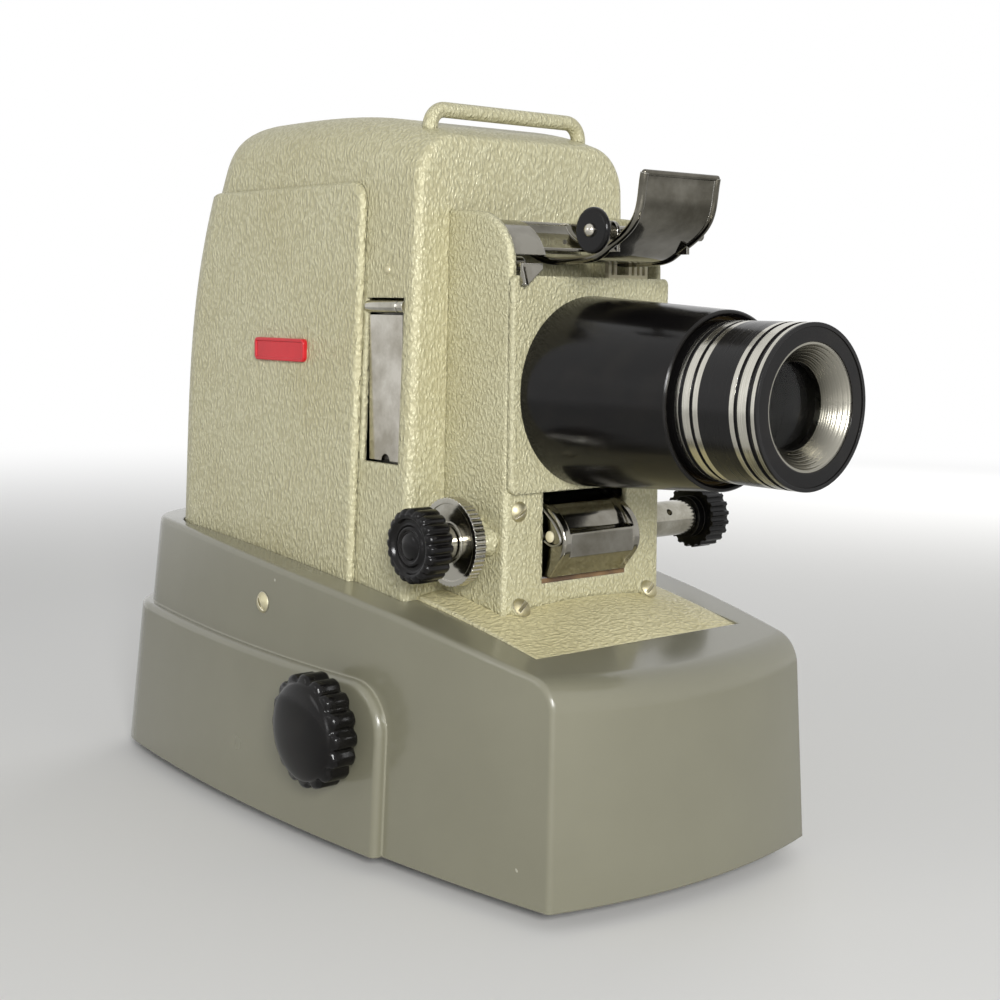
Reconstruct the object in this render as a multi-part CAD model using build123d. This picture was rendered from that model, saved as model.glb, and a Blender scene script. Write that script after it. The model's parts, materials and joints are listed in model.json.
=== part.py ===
"""Filmstrip projector: enamelled base, hammertone lamp house and film head, projection lens.

Millimetres, +Z up. The lens points to -Y. The origin is on the floor, in the middle of the front foot,
under the lens axis. Each function below makes one piece, at its place.
"""
import os
from math import cos, pi, radians, sin, sqrt, tan

from build123d import *

os.makedirs("parts", exist_ok=True)

# Heights and main planes
FOOT_H = 8.0
AXIS_Z = 211.6
LENS_FRONT_Y = -94.0
PLATE_FRONT_Y = 30.0
HOUSE_FRONT_Y = 76.0

# Clearances: a running fit, a sliding fit, and the gap round a seated piece
RUN = 0.05
SLIDE = 0.3
SEAT_GAP = 0.4

# Base casting
BASE_CORNER_Y = -34.0
BASE_HALF_FRONT = 79.0
BASE_FRONT_BOW = 11.5
BASE_MID_Y = 133.0
BASE_HALF_MID = 94.8
BASE_REAR_Y = 311.5
BASE_HALF_REAR = 81.5
BASE_REAR_BOW = 32.0
BASE_FRONT_R = 14.0
BASE_REAR_CORNER_R = 42.0
BASE_DRAFT = 2.6
BASE_REAR_LEAN = 6.0
BASE_LOFT_H = 150.0
BASE_WALL = 3.5
BASE_ROOF = 7.0
BASE_EDGE_R = 2.5
RIM_FRONT_Z = 104.0
RIM_REAR_Z = 131.5
BULGE_PROUD = 4.5
BULGE_FRONT_Y = 62.0
BULGE_STEP_Z = 83.5
BULGE_CORNER_R = 22.0
BULGE_EDGE_R = 3.0
SEAT_DEPTH = 3.0
PAN_T = 2.0
FOOT_R = 11.0
REAR_FOOT_X = 62.0
REAR_FOOT_Y = 290.0
BASE_SCREW_Y = 161.0
BASE_SCREW_Z = 106.5
BASE_SCREW_SHANK_R = 2.5

# Lamp house and its rear cover
HOUSE_HALF_LOW = 70.9
HOUSE_HALF_TOP = 60.2
HOUSE_LOW_Z = 90.0
HOUSE_TOP_Z = 338.2
HOUSE_REAR_Y = 284.0
HOUSE_SHOULDER_R = 21.0
HOUSE_FRONT_R = 4.0
HOUSE_WALL = 2.5
COVER_GAP = 0.5
COVER_WALL = 3.0
COVER_FRONT_Y = 114.0
COVER_TOP_Z = 304.6
COVER_CORNER_R = 10.0
HANDLE_Y = 91.0
HANDLE_HALF = 45.0
HANDLE_BAR_R = 3.5
HANDLE_DROP = 2.0

# Film head and front deck
HEAD_HALF_LOW = 48.2
HEAD_HALF_TOP = 45.4
HEAD_LOW_Z = 112.0
HEAD_TOP_Z = 290.5
HEAD_SHOULDER_R = 25.0
HEAD_WALL = 3.0
HEAD_FLOOR_Z = 262.0
DECK_FRONT_Y = -5.0
DECK_HALF = 61.7
DECK_CROWN_Z = 118.3
DECK_REAR_CROWN_Z = 124.0
WINDOW_HALF = 25.6
WINDOW_LOW_Z = 127.1
HEAD_SCREW_HALF = 39.4
HEAD_SCREW_LOW_Z = 118.4
HEAD_SCREW_HIGH_Z = 160.2
HEAD_SCREW_HEAD_R = 4.6
HEAD_SCREW_SHANK_R = 1.8

# Lens plate, tube and barrel
PLATE_T = 3.0
PLATE_HALF = 46.8
PLATE_LOW_Z = 168.4
PLATE_TOP_Z = 262.0
PLATE_CORNER_R = 3.0
TUBE_FRONT_Y = -50.3
TUBE_FRONT_R = 37.2
TUBE_REAR_R = 42.3
TUBE_BORE_R = 34.6
GUIDE_LENGTH = 16.0
BARREL_R = 33.0
BARREL_REAR_Y = 22.0
BARREL_WALL = 3.0
NAME_RING_R = 25.5
GLASS_R = 17.6
CONE_DEPTH = 9.0
FRONT_LENS_T = 5.0

# Film cradle, spindle and latch
CRADLE_HALF = 21.5
CRADLE_T = 1.2
CRADLE_TIP_Y = -21.3
CRADLE_TIP_Z = 303.6
CRADLE_LOW_Z = 268.7
BEAD_R = 1.8
EAR_R = 4.4
SPINDLE_Y = -2.0
SPINDLE_Z = 280.5
SPINDLE_R = 2.4
SPINDLE_DISC_R = 9.6
SPINDLE_DISC_T = 3.2
HOOD_R = 23.2
HOOD_T = 1.2
LATCH_X0 = -42.2
LATCH_X1 = -32.8
LATCH_PIN_Y = 42.0
LATCH_PIN_Z = 267.5
LATCH_PIN_R = 1.5
LATCH_T = 1.5

# Film gate
GATE_Y = 50.0
GATE_T = 2.0
APERTURE_W = 23.0
APERTURE_H = 17.0
PRESSURE_HALF = 25.0
PRESSURE_H = 56.0
PRESSURE_T = 2.5
PRESSURE_OPEN = 3.0
GATE_PIN_R = 1.5
GATE_PIN_X = 21.5
GATE_PIN_RISE = 20.0

# Film advance
ADVANCE_Y = 52.0
ADVANCE_Z = 146.6
ADVANCE_SHAFT_R = 4.0
KNOB_R = 16.5
KNOB_FLUTES = 20
LEFT_KNOB_FACE_X = -85.6
LEFT_KNOB_T = 13.0
RIGHT_KNOB_FACE_X = 100.5
RIGHT_KNOB_T = 15.5
DISC_FACE_X = -63.6
DISC_T = 5.5
DISC_R = 19.6
DISC_NOTCHES = 54
SLEEVE_R = 6.6
BOSS_R = 9.0
BOSS_FLARE_R = 10.2
BOSS_LOBE_Y = 43.6
BOSS_LOBE_R = 6.4
NECK_R = 7.5
COLLAR_R = 8.6
SPROCKET_R = 12.1
SPROCKET_TEETH = 16
FILM_PITCH_HALF = 14.1
SHOE_T = 1.5
SHOE_HALF = 23.5
SHOE_BAND_HALF = 19.2
SHOE_FRONT_Y = 20.4
SHOE_PIN_R = 1.5
SHOE_PIN_Y = 46.0
SHOE_PIN_Z = 162.5

# Pull-out optical tray
SLOT_Y0 = 84.0
SLOT_Y1 = 112.0
SLOT_LOW_Z = 177.6
SLOT_HIGH_Z = 252.0
TRAY_X0 = -62.0
TRAY_X1 = 36.0
TRAY_Y0 = 86.0
TRAY_Y1 = 110.0
TRAY_LOW_Z = 179.0
TRAY_HIGH_Z = 244.4
TRAY_WALL = 2.0
TRAY_FACE_X = -64.0
GUIDE_BAR_R = 3.0
CONDENSER_R = 27.0

# Lamp
LAMP_Y = 172.0
LAMP_R = 16.0
LAMP_TOP_Z = 262.0
LAMP_BASE_Z = 168.0
LAMP_BASE_R = 12.5
SOCKET_R = 18.0
SOCKET_LOW_Z = 134.0
SOCKET_TOP_Z = 152.0
BRIDGE_T = 3.0
REFLECTOR_R = 36.0
REFLECTOR_Y = 214.0

# Blower
FAN_Y = 196.0
FAN_Z = 62.0
FAN_R = 36.0
FAN_X0 = 6.0
FAN_W = 30.0
FAN_BLADES = 20
SCROLL_R = 42.0
SCROLL_T = 2.0
MOTOR_R = 25.0
MOTOR_X0 = -62.0
MOTOR_X1 = -8.0
MOTOR_SHAFT_R = 3.0

# Tilt gear
TILT_Y = 93.5
TILT_Z = 61.0
TILT_FACE_X = -117.0
TILT_SHAFT_R = 5.0
TILT_MODULE = 1.5
TILT_TEETH = 12
TILT_TRAVEL = 30.0
TILT_KNOB_R = 25.8
TILT_CAP_R = 22.0
TILT_KNOB_T = 17.5
TILT_SCALLOPS = 16
LEG_HALF = 6.0
LEG_DEPTH = 10.0
LEG_TOP_Z = 98.0
LEG_FOOT_R = 9.0
LEG_FOOT_H = 8.0
LEG_LIFT = 1.5
BRACKET_HALF = 12.0
RACK_TIP = 1.2
RACK_ROOT = 1.7

# Rear fittings
SWITCH_X = 24.0
SWITCH_Z = 60.0
SWITCH_W = 14.0
SWITCH_H = 24.0
INLET_X = -24.0
INLET_Z = 60.0
INLET_W = 30.0
INLET_H = 20.0
FITTING_FLANGE = 2.5
FITTING_DEPTH = 22.0

# Worked out from the sizes above
HEAD_FRONT_Y = PLATE_FRONT_Y + PLATE_T
HEAD_INNER_Y = HEAD_FRONT_Y + HEAD_WALL
COVER_GROW = COVER_GAP + COVER_WALL
TILT_PITCH_R = TILT_MODULE * TILT_TEETH / 2
PAN_LOW_Z = FOOT_H + 0.5
PAN_TOP_Z = PAN_LOW_Z + PAN_T
HANDLE_Z = HOUSE_TOP_Z - HANDLE_DROP
TALL = 400.0
CELL_Y = LENS_FRONT_Y + 12.9


def block(x0, x1, y0, y1, z0, z1):
    """A box between two corners."""
    place = Pos((x0 + x1) / 2, (y0 + y1) / 2, (z0 + z1) / 2)
    return place * Box(x1 - x0, y1 - y0, z1 - z0)


def rod_x(radius, x0, x1, y, z):
    return Pos((x0 + x1) / 2, y, z) * Rot(0, 90, 0) * Cylinder(radius, x1 - x0)


def rod_y(radius, y0, y1, x, z):
    return Pos(x, (y0 + y1) / 2, z) * Rot(90, 0, 0) * Cylinder(radius, y1 - y0)


def rod_z(radius, z0, z1, x, y):
    return Pos(x, y, (z0 + z1) / 2) * Cylinder(radius, z1 - z0)


def turned_x(points, y, z):
    """A turned piece on an X axis, from (x, radius) points."""
    face = make_face(Polyline(*points, close=True))
    return Pos(0, y, z) * revolve(face, axis=Axis.X)


def turned_y(points, x, z):
    """A turned piece on a Y axis, from (y, radius) points."""
    face = make_face(Polyline(*[(radius, y) for y, radius in points], close=True))
    return Pos(x, 0, z) * revolve(face, axis=Axis.Y)


def side_prism(face, half_width):
    """A face drawn in Y and Z, drawn out across the middle plane."""
    return extrude(Plane.YZ.offset(-half_width) * face, amount=2 * half_width)


def front_prism(face, y0, y1):
    """A face drawn in X and Z, drawn out from y0 back to y1."""
    return extrude(Plane.XZ.offset(-y0) * face, amount=-(y1 - y0))


def fluted(radius, flutes, flute_r, depth, length):
    """A knob rim along Z from 0 to length, with round flutes cut into it."""
    rim = Circle(radius) - PolarLocations(radius + flute_r - depth, flutes) * Circle(flute_r)
    return extrude(rim, amount=length)


def slotted_screw(head_r, head_h, shank_r, shank_length):
    """A round-headed slotted screw with its head towards +Z, seated at z = 0."""
    dome_r = (head_r**2 + head_h**2) / (2 * head_h)
    head = Pos(0, 0, head_h - dome_r) * Sphere(dome_r) & rod_z(head_r, 0, head_h, 0, 0)
    slot_half = head_r * 0.16
    slot = Rot(0, 0, 35) * block(-head_r, head_r, -slot_half, slot_half, head_h * 0.35, head_h + 1)
    return head - slot + rod_z(shank_r, -shank_length, 0, 0, 0)


def save(name, shape):
    shape.label = name
    export_step(shape, f"parts/{name}.step")


# Base casting and what is fixed to it

def circle_through(a, b, c):
    """Centre and radius of the circle through three points."""
    (ax, ay), (bx, by), (cx, cy) = a, b, c
    d = 2 * (ax * (by - cy) + bx * (cy - ay) + cx * (ay - by))
    a2, b2, c2 = ax**2 + ay**2, bx**2 + by**2, cx**2 + cy**2
    ux = (a2 * (by - cy) + b2 * (cy - ay) + c2 * (ay - by)) / d
    uy = (a2 * (cx - bx) + b2 * (ax - cx) + c2 * (bx - ax)) / d
    return ux, uy, sqrt((ax - ux) ** 2 + (ay - uy) ** 2)


def base_draft(z):
    """How far the drafted walls have drawn in at a height."""
    return (z - FOOT_H) * tan(radians(BASE_DRAFT))


def base_half_width(y, z):
    """Half width of the main side wall at a place along the base."""
    ux, uy, r = circle_through(
        (BASE_HALF_FRONT, BASE_CORNER_Y), (BASE_HALF_MID, BASE_MID_Y), (BASE_HALF_REAR, BASE_REAR_Y)
    )
    return ux + sqrt(r**2 - (y - uy) ** 2) - base_draft(z)


def base_rear_y(x, z):
    """Where the bowed rear wall stands at a place across the base."""
    r = (BASE_HALF_REAR**2 + BASE_REAR_BOW**2) / (2 * BASE_REAR_BOW)
    lean = (z - FOOT_H) * tan(radians(BASE_REAR_LEAN))
    return BASE_REAR_Y + BASE_REAR_BOW - r + sqrt(r**2 - x**2) - base_draft(z) - lean


def base_outline(z, grow=0.0):
    """The outline at a height: all walls draw in, the rear one the most."""
    shift = grow - base_draft(z)
    front_half = BASE_HALF_FRONT + shift
    rear_half = BASE_HALF_REAR + shift
    mid_half = BASE_HALF_MID + shift
    front_y = BASE_CORNER_Y - shift
    rear_y = BASE_REAR_Y + shift - (z - FOOT_H) * tan(radians(BASE_REAR_LEAN))
    front = ThreePointArc((-front_half, front_y), (0, front_y - BASE_FRONT_BOW), (front_half, front_y))
    right = ThreePointArc((front_half, front_y), (mid_half, BASE_MID_Y), (rear_half, rear_y))
    rear = ThreePointArc((rear_half, rear_y), (0, rear_y + BASE_REAR_BOW), (-rear_half, rear_y))
    left = ThreePointArc((-rear_half, rear_y), (-mid_half, BASE_MID_Y), (-front_half, front_y))
    face = make_face([front, right, rear, left])
    face = fillet(face.vertices().group_by(Axis.Y)[-1], BASE_REAR_CORNER_R + shift)
    return Pos(0, 0, z) * face


def base_volume(grow=0.0):
    """The drafted outline, higher than the casting."""
    return loft([base_outline(FOOT_H, grow), base_outline(FOOT_H + BASE_LOFT_H, grow)])


def below_rim(drop=0.0):
    """Everything under the rim line of the base, which climbs to the rear."""
    front = RIM_FRONT_Z - drop
    rear = RIM_REAR_Z - drop
    rim = Spline((-70, front - 12), (-10, front), (60, front + 11.5), (150, rear - 6.5), (235, rear - 0.4), (380, rear + 0.5))
    sides = Polyline(rim @ 1, (380, -20), (-70, -20), rim @ 0)
    return side_prism(make_face([rim, sides]), 140)


def below_bulge(drop=0.0, setback=0.0):
    """Everything under the step line of the side bulge."""
    front_y = BULGE_FRONT_Y + setback
    step_z = BULGE_STEP_Z - drop
    corner = JernArc((front_y, step_z - BULGE_CORNER_R), (0, 1), BULGE_CORNER_R, -90)
    step = Spline(corner @ 1, (170, step_z + 0.5), (264, step_z + 2), (380, step_z + 4))
    sides = Polyline(step @ 1, (380, -20), (front_y, -20), corner @ 0)
    return side_prism(make_face([corner, step, sides]), 140)


def footprint(volume, z):
    """The outline of a volume at a height, as a tall prism."""
    section = volume & block(-TALL, TALL, -TALL, TALL, z, z + 1)
    outline = section.faces().sort_by(Axis.Z)[0].outer_wire()
    return extrude(Face(outline), amount=80, both=True)


def seat_tool():
    """What is cut from the base so that the house, its cover and the deck stand in it."""
    seat_z = RIM_FRONT_Z + 14
    house = footprint(house_volume(SEAT_GAP), seat_z)
    cover = footprint(house_volume(COVER_GROW + SEAT_GAP), seat_z)
    cover = cover & block(-TALL, TALL, COVER_FRONT_Y - SEAT_GAP, TALL, -TALL, TALL)
    side = DECK_HALF + SEAT_GAP
    deck = block(-side, side, DECK_FRONT_Y - SEAT_GAP, HOUSE_FRONT_Y, RIM_FRONT_Z - 30, RIM_REAR_Z + 30)
    return (house + cover + deck) - below_rim(SEAT_DEPTH)


def base_cavity():
    main = base_volume(-BASE_WALL) & below_rim(BASE_ROOF)
    return main + (base_volume(BULGE_PROUD - BASE_WALL) & below_bulge(BASE_WALL, BASE_WALL))


def base_shell():
    body = base_volume() & below_rim()
    front_edge = body.faces().sort_by(Axis.Z)[-1].edges().sort_by(Axis.Y)[0]
    body = fillet(front_edge, BASE_FRONT_R)
    rim = [e for e in body.edges() if e.geom_type != GeomType.LINE and e.center().Z > FOOT_H + 30
           and (abs(e.center().X) > BASE_HALF_FRONT / 2 or e.center().Y > BASE_MID_Y)]
    body = fillet(rim, BASE_EDGE_R)
    bulge = base_volume(BULGE_PROUD) & below_bulge()
    crest = [e for e in bulge.edges() if e.geom_type != GeomType.LINE and e.center().Z > FOOT_H + 1]
    bulge = fillet(crest, BULGE_EDGE_R)
    body = body + bulge - base_cavity() - seat_tool()
    body = body - block(-34, 34, HOUSE_FRONT_Y + 34, FAN_Y + 44, RIM_FRONT_Z - 10, RIM_REAR_Z + 10)
    body = body - rod_x(TILT_SHAFT_R + 2.5, -TALL, -BASE_HALF_MID / 2, TILT_Y, TILT_Z)
    for side in (-1, 1):
        body = body - base_screw_place(side) * rod_z(BASE_SCREW_SHANK_R, -14, 2, 0, 0)
    body = body - fitting_hole(SWITCH_X, SWITCH_Z, SWITCH_W, SWITCH_H)
    return body - fitting_hole(INLET_X, INLET_Z, INLET_W, INLET_H)



def base_screw_place(side):
    """Square to the drafted side wall, just clear of it."""
    x = side * (base_half_width(BASE_SCREW_Y, BASE_SCREW_Z) + 0.1)
    return Pos(x, BASE_SCREW_Y, BASE_SCREW_Z) * Rot(0, side * (90 - BASE_DRAFT), 0)


def base_side_screws():
    screw = slotted_screw(5.2, 2.2, BASE_SCREW_SHANK_R, 9)
    return Compound(children=[base_screw_place(side) * screw for side in (-1, 1)])


def fitting_hole(x, z, width, height):
    y = base_rear_y(x, z)
    w = width / 2 + SLIDE / 2
    h = height / 2 + SLIDE / 2
    return block(x - w, x + w, y - FITTING_DEPTH - 10, y + 20, z - h, z + h)


def bottom_pan():
    plate = base_cavity() & block(-TALL, TALL, -TALL, TALL, PAN_LOW_Z, PAN_TOP_Z)
    plate = plate - rod_z(LEG_FOOT_R + 1.5, 0, 40, 0, leg_centre_y())
    slots = [Pos(x, FAN_Y, PAN_LOW_Z) * Box(4, 60, 10) for x in range(-30, 61, 10)]
    return plate - slots


def rubber_feet():
    feet = []
    for x, y in ((0, 0), (-REAR_FOOT_X, REAR_FOOT_Y), (REAR_FOOT_X, REAR_FOOT_Y)):
        foot = rod_z(FOOT_R, 0, PAN_LOW_Z, x, y)
        foot = chamfer(foot.edges().sort_by(Axis.Z)[0], 1.5)
        feet.append(foot)
    return Compound(children=feet)


# Tilt gear: a knob, its shaft with the pinion, and the rack leg

def leg_centre_y():
    return TILT_Y - TILT_PITCH_R - RACK_ROOT - LEG_DEPTH / 2



def tooth(tip, root, tip_half, root_half):
    """A gear tooth profile that points to +X from the pitch line at x = 0."""
    return make_face(Polyline((-root, -root_half), (tip, -tip_half), (tip, tip_half), (-root, root_half), close=True))


def tilt_pinion_shaft():
    pitch_half = pi * TILT_MODULE / 4 - 0.2
    rim = Circle(TILT_PITCH_R - RACK_ROOT + 0.2)
    profile = tooth(RACK_TIP, RACK_ROOT + 0.5, pitch_half - 0.55, pitch_half + 0.35)
    for i in range(TILT_TEETH):
        rim = rim + Rot(0, 0, 360 / TILT_TEETH * i) * Pos(TILT_PITCH_R, 0) * profile
    half = LEG_HALF - SLIDE
    pinion = extrude(rim, amount=2 * half)
    pinion = Pos(-half, TILT_Y, TILT_Z) * Rot(0, 90, 0) * pinion
    shaft = rod_x(TILT_SHAFT_R, TILT_FACE_X + TILT_KNOB_T - 8, BRACKET_HALF + 3, TILT_Y, TILT_Z)
    return pinion + shaft


def tilt_leg():
    back_y = TILT_Y - TILT_PITCH_R - RACK_ROOT
    bar = block(-LEG_HALF, LEG_HALF, back_y - LEG_DEPTH, back_y, LEG_LIFT + LEG_FOOT_H, LEG_TOP_Z)
    pitch = pi * TILT_MODULE
    profile = tooth(RACK_TIP, RACK_ROOT + 0.2, pitch / 4 - 0.2 - 0.43, pitch / 4 - 0.2 + 0.65)
    teeth = []
    z = TILT_Z - 1.5 * pitch
    while z < LEG_TOP_Z - pitch / 2:
        face = Pos(TILT_Y - TILT_PITCH_R, z) * profile
        teeth.append(side_prism(face, LEG_HALF))
        z += pitch
    return bar + teeth


def leg_foot():
    foot = rod_z(LEG_FOOT_R, LEG_LIFT, LEG_LIFT + LEG_FOOT_H, 0, leg_centre_y())
    return chamfer(foot.edges().sort_by(Axis.Z)[0], 1.2)


def tilt_bracket():
    """One casting that guides the leg on three sides and carries the pinion shaft."""
    front_y = leg_centre_y() - LEG_DEPTH / 2 - 6
    body = block(-BRACKET_HALF, BRACKET_HALF, front_y, TILT_Y + 10, PAN_TOP_Z, TILT_Z + 13)
    inner = LEG_HALF + RUN
    body = body - block(-inner, inner, leg_centre_y() - LEG_DEPTH / 2 - RUN, TALL, -10, TALL)
    return body - rod_x(TILT_SHAFT_R + RUN, -40, 40, TILT_Y, TILT_Z)


def tilt_bush():
    wall_x = -base_half_width(TILT_Y, TILT_Z) - BULGE_PROUD
    outer = TILT_SHAFT_R + 2.5
    knob_back = TILT_FACE_X + TILT_KNOB_T
    flange = rod_x(outer + 2, wall_x - 2, wall_x + 4, TILT_Y, TILT_Z) - base_volume(BULGE_PROUD)
    body = flange + rod_x(outer, knob_back + SLIDE, wall_x + 14, TILT_Y, TILT_Z)
    return body - rod_x(TILT_SHAFT_R + RUN, -TALL, TALL, TILT_Y, TILT_Z)


def tilt_knob():
    """Domed cap in front of a wider scalloped rim."""
    rim = fluted(TILT_KNOB_R, TILT_SCALLOPS, 4.2, 1.6, TILT_KNOB_T - 5)
    rim = chamfer(rim.faces().sort_by(Axis.Z)[-1].edges(), 0.6)
    dome_h = 5.0
    dome_r = (TILT_CAP_R**2 + dome_h**2) / (2 * dome_h)
    cap = Pos(0, 0, TILT_KNOB_T - dome_r) * Sphere(dome_r) & rod_z(TILT_CAP_R, 0, TILT_KNOB_T, 0, 0)
    body = rim + cap - rod_z(TILT_SHAFT_R, -1, 8, 0, 0)
    return Pos(TILT_FACE_X + TILT_KNOB_T, TILT_Y, TILT_Z) * Rot(0, -90, 0) * body


# Lamp house

def crown_points():
    """Side view of the crown and rear of the lamp house, front to foot."""
    top = HOUSE_TOP_Z
    front = HOUSE_FRONT_Y
    rear = HOUSE_REAR_Y
    low = HOUSE_LOW_Z
    return [
        (front, top - 14.5), (front + 29, top - 6.4), (front + 64, top - 1.8), (front + 99, top - 0.2), (rear - 76, top),
        (rear - 56, top - 1), (rear - 43, top - 4.9), (rear - 34, top - 13), (rear - 27.5, top - 25),
        (rear - 20, top - 43), (rear - 8, low + 0.652 * (top - low)), (rear - 2.5, low + 0.37 * (top - low)),
        (rear, low),
    ]


def house_profile(grow):
    """Side view of the lamp house, moved outwards by grow."""
    points = crown_points()
    line = Spline(*points)
    moved = [(points[0][0] - grow, points[0][1] + grow * 0.75)]
    for y, z in points[1:-1]:
        along = line.tangent_at(Vector(y, z))
        moved.append((y - along.Y * grow, z + along.X * grow))
    moved.append((points[-1][0] + grow, points[-1][1]))
    crown = Spline(*moved)
    front_y = points[0][0] - grow
    sides = Polyline(crown @ 1, (front_y, HOUSE_LOW_Z), crown @ 0)
    return make_face([crown, sides])


def house_volume(grow=0.0):
    low = HOUSE_HALF_LOW + grow
    top = HOUSE_HALF_TOP + grow
    over = HOUSE_TOP_Z + 12
    section = make_face(Polyline((-low, HOUSE_LOW_Z), (low, HOUSE_LOW_Z), (top, over), (-top, over), close=True))
    body = front_prism(section, 0, TALL) & side_prism(house_profile(grow), 100)
    long_edges = [e for e in body.edges() if e.length > HOUSE_TOP_Z]
    return fillet(long_edges, HOUSE_SHOULDER_R + grow)


def lamp_house():
    body = house_volume()
    front = body.faces().sort_by(Axis.Y)[0]
    body = fillet([e for e in front.edges() if e.center().Z > HOUSE_LOW_Z + 5], HOUSE_FRONT_R)
    body = body - house_volume(-HOUSE_WALL)
    body = body - below_rim(SEAT_DEPTH)
    body = body - block(-34, 34, HOUSE_FRONT_Y - 5, HOUSE_FRONT_Y + 8, AXIS_Z - 44, AXIS_Z + 40)
    body = body - block(-90, -40, SLOT_Y0, SLOT_Y1, SLOT_LOW_Z, SLOT_HIGH_Z)
    body = body - block(-42, 42, HOUSE_REAR_Y - 40, TALL, 165, 270)
    return body


def rear_cover():
    """The raised shell that wraps round both sides and the rear."""
    shell = house_volume(COVER_GROW) - house_volume(COVER_GAP) - below_rim(SEAT_DEPTH)
    r = COVER_CORNER_R
    y, z = COVER_FRONT_Y, COVER_TOP_Z
    corner = JernArc((y, z - r), (0, 1), r, -90)
    sides = Polyline(corner @ 1, (TALL, z), (TALL, 60), (y, 60), corner @ 0)
    return shell & side_prism(make_face([corner, sides]), 120)


def cover_badge():
    """A plain raised bar on the left side of the cover."""
    z = AXIS_Z + 15
    half_w = HOUSE_HALF_LOW + COVER_GROW - (z - HOUSE_LOW_Z) * house_slope()
    bar = block(-half_w - 2.2, -half_w + 6, 155, 199, z - 5.5, z + 5.5)
    return bar - house_volume(COVER_GROW)


def house_slope():
    return (HOUSE_HALF_LOW - HOUSE_HALF_TOP) / (HOUSE_TOP_Z + 12 - HOUSE_LOW_Z)


def carry_handle():
    r = 8.0
    low = HANDLE_Z - 24
    path = FilletPolyline((-HANDLE_HALF, HANDLE_Y, low), (-HANDLE_HALF, HANDLE_Y, HANDLE_Z),
                          (HANDLE_HALF, HANDLE_Y, HANDLE_Z), (HANDLE_HALF, HANDLE_Y, low), radius=r)
    bar = sweep(Plane(path @ 0, z_dir=path % 0) * Circle(HANDLE_BAR_R), path=path)
    return bar - house_volume()


# Film head, deck and lens plate

def deck_section(y, edge_z, crown_z, low_z):
    side = Polyline((-DECK_HALF, y, edge_z), (-DECK_HALF, y, low_z), (DECK_HALF, y, low_z), (DECK_HALF, y, edge_z))
    top = ThreePointArc((DECK_HALF, y, edge_z), (0, y, crown_z), (-DECK_HALF, y, edge_z))
    return Wire([*side.edges(), top])


def deck_volume():
    """The crowned deck, far deeper than its plate."""
    low = RIM_FRONT_Z - 20
    sections = [
        deck_section(DECK_FRONT_Y, RIM_FRONT_Z + 0.2, RIM_FRONT_Z + 0.6, low),
        deck_section(HEAD_FRONT_Y, RIM_FRONT_Z + 8.4, DECK_CROWN_Z, low),
        deck_section(HOUSE_FRONT_Y, RIM_FRONT_Z + 15, DECK_REAR_CROWN_Z, low),
    ]
    return Solid.make_loft(sections)


def front_deck():
    deck = deck_volume() - below_rim(SEAT_DEPTH)
    for side in (-1, 1):
        deck = deck - low_screw_place(side) * rod_z(HEAD_SCREW_SHANK_R, -9, 1, 0, 0)
    return deck


def head_section(grow):
    low = HEAD_HALF_LOW + grow
    top = HEAD_HALF_TOP + grow
    return make_face(Polyline((-low, HEAD_LOW_Z - 6), (low, HEAD_LOW_Z - 6), (top, HEAD_TOP_Z + 4),
                              (-top, HEAD_TOP_Z + 4), close=True))


def head_side_face():
    front_top = HEAD_TOP_Z - 2.5
    outline = Polyline((HEAD_FRONT_Y, HEAD_LOW_Z - 6), (HEAD_FRONT_Y, front_top), (HOUSE_FRONT_Y, HEAD_TOP_Z + 1),
                       (HOUSE_FRONT_Y, HEAD_LOW_Z - 6), close=True)
    face = make_face(outline)
    corner = [v for v in face.vertices() if v.Y > HEAD_LOW_Z and v.X < HEAD_FRONT_Y + 1]
    return fillet(corner, HEAD_SHOULDER_R)


def film_head():
    body = front_prism(head_section(0), HEAD_FRONT_Y, HOUSE_FRONT_Y) & side_prism(head_side_face(), 80)
    front = body.faces().sort_by(Axis.Y)[0]
    uprights = [e for e in front.edges() if e.length > 60 and abs(e.center().X) > 20]
    body = chamfer(uprights, 1.2)
    inner = front_prism(head_section(-HEAD_WALL), HEAD_INNER_Y, HOUSE_FRONT_Y)
    room = inner & block(-TALL, TALL, -TALL, TALL, WINDOW_LOW_Z, TALL)
    above = front_prism(head_section(-HEAD_WALL), HEAD_FRONT_Y - 5, HOUSE_FRONT_Y)
    above = above & block(-TALL, TALL, -TALL, TALL, HEAD_FLOOR_Z, TALL)
    for side in (-1, 1):
        body = body + low_screw_place(side) * rod_z(HEAD_SCREW_HEAD_R - 0.4, -9, 0, 0, 0)
    body = body - room - above - deck_volume()
    body = body - rod_y(BARREL_R + 2, HEAD_FRONT_Y - 5, HEAD_INNER_Y + 1, 0, AXIS_Z)
    window = block(-WINDOW_HALF, WINDOW_HALF, HEAD_FRONT_Y - 5, HEAD_INNER_Y + 1, WINDOW_LOW_Z, PLATE_LOW_Z)
    body = body - window
    body = body - rod_x(BOSS_R, -TALL, 0, ADVANCE_Y, ADVANCE_Z)
    body = body - rod_x(ADVANCE_SHAFT_R + RUN, 0, TALL, ADVANCE_Y, ADVANCE_Z)
    for place in head_screw_places():
        body = body - place * rod_z(HEAD_SCREW_SHANK_R, -9, 1, 0, 0)
    return body


def head_floor():
    """Plate between the side walls of the head, with the slot for the film."""
    floor = head_room() & block(-TALL, TALL, HEAD_INNER_Y, TALL, HEAD_FLOOR_Z - HEAD_WALL, HEAD_FLOOR_Z)
    return floor - block(-19, 19, GATE_Y - 7, GATE_Y + 1, HEAD_FLOOR_Z - 10, HEAD_FLOOR_Z + 10)


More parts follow.
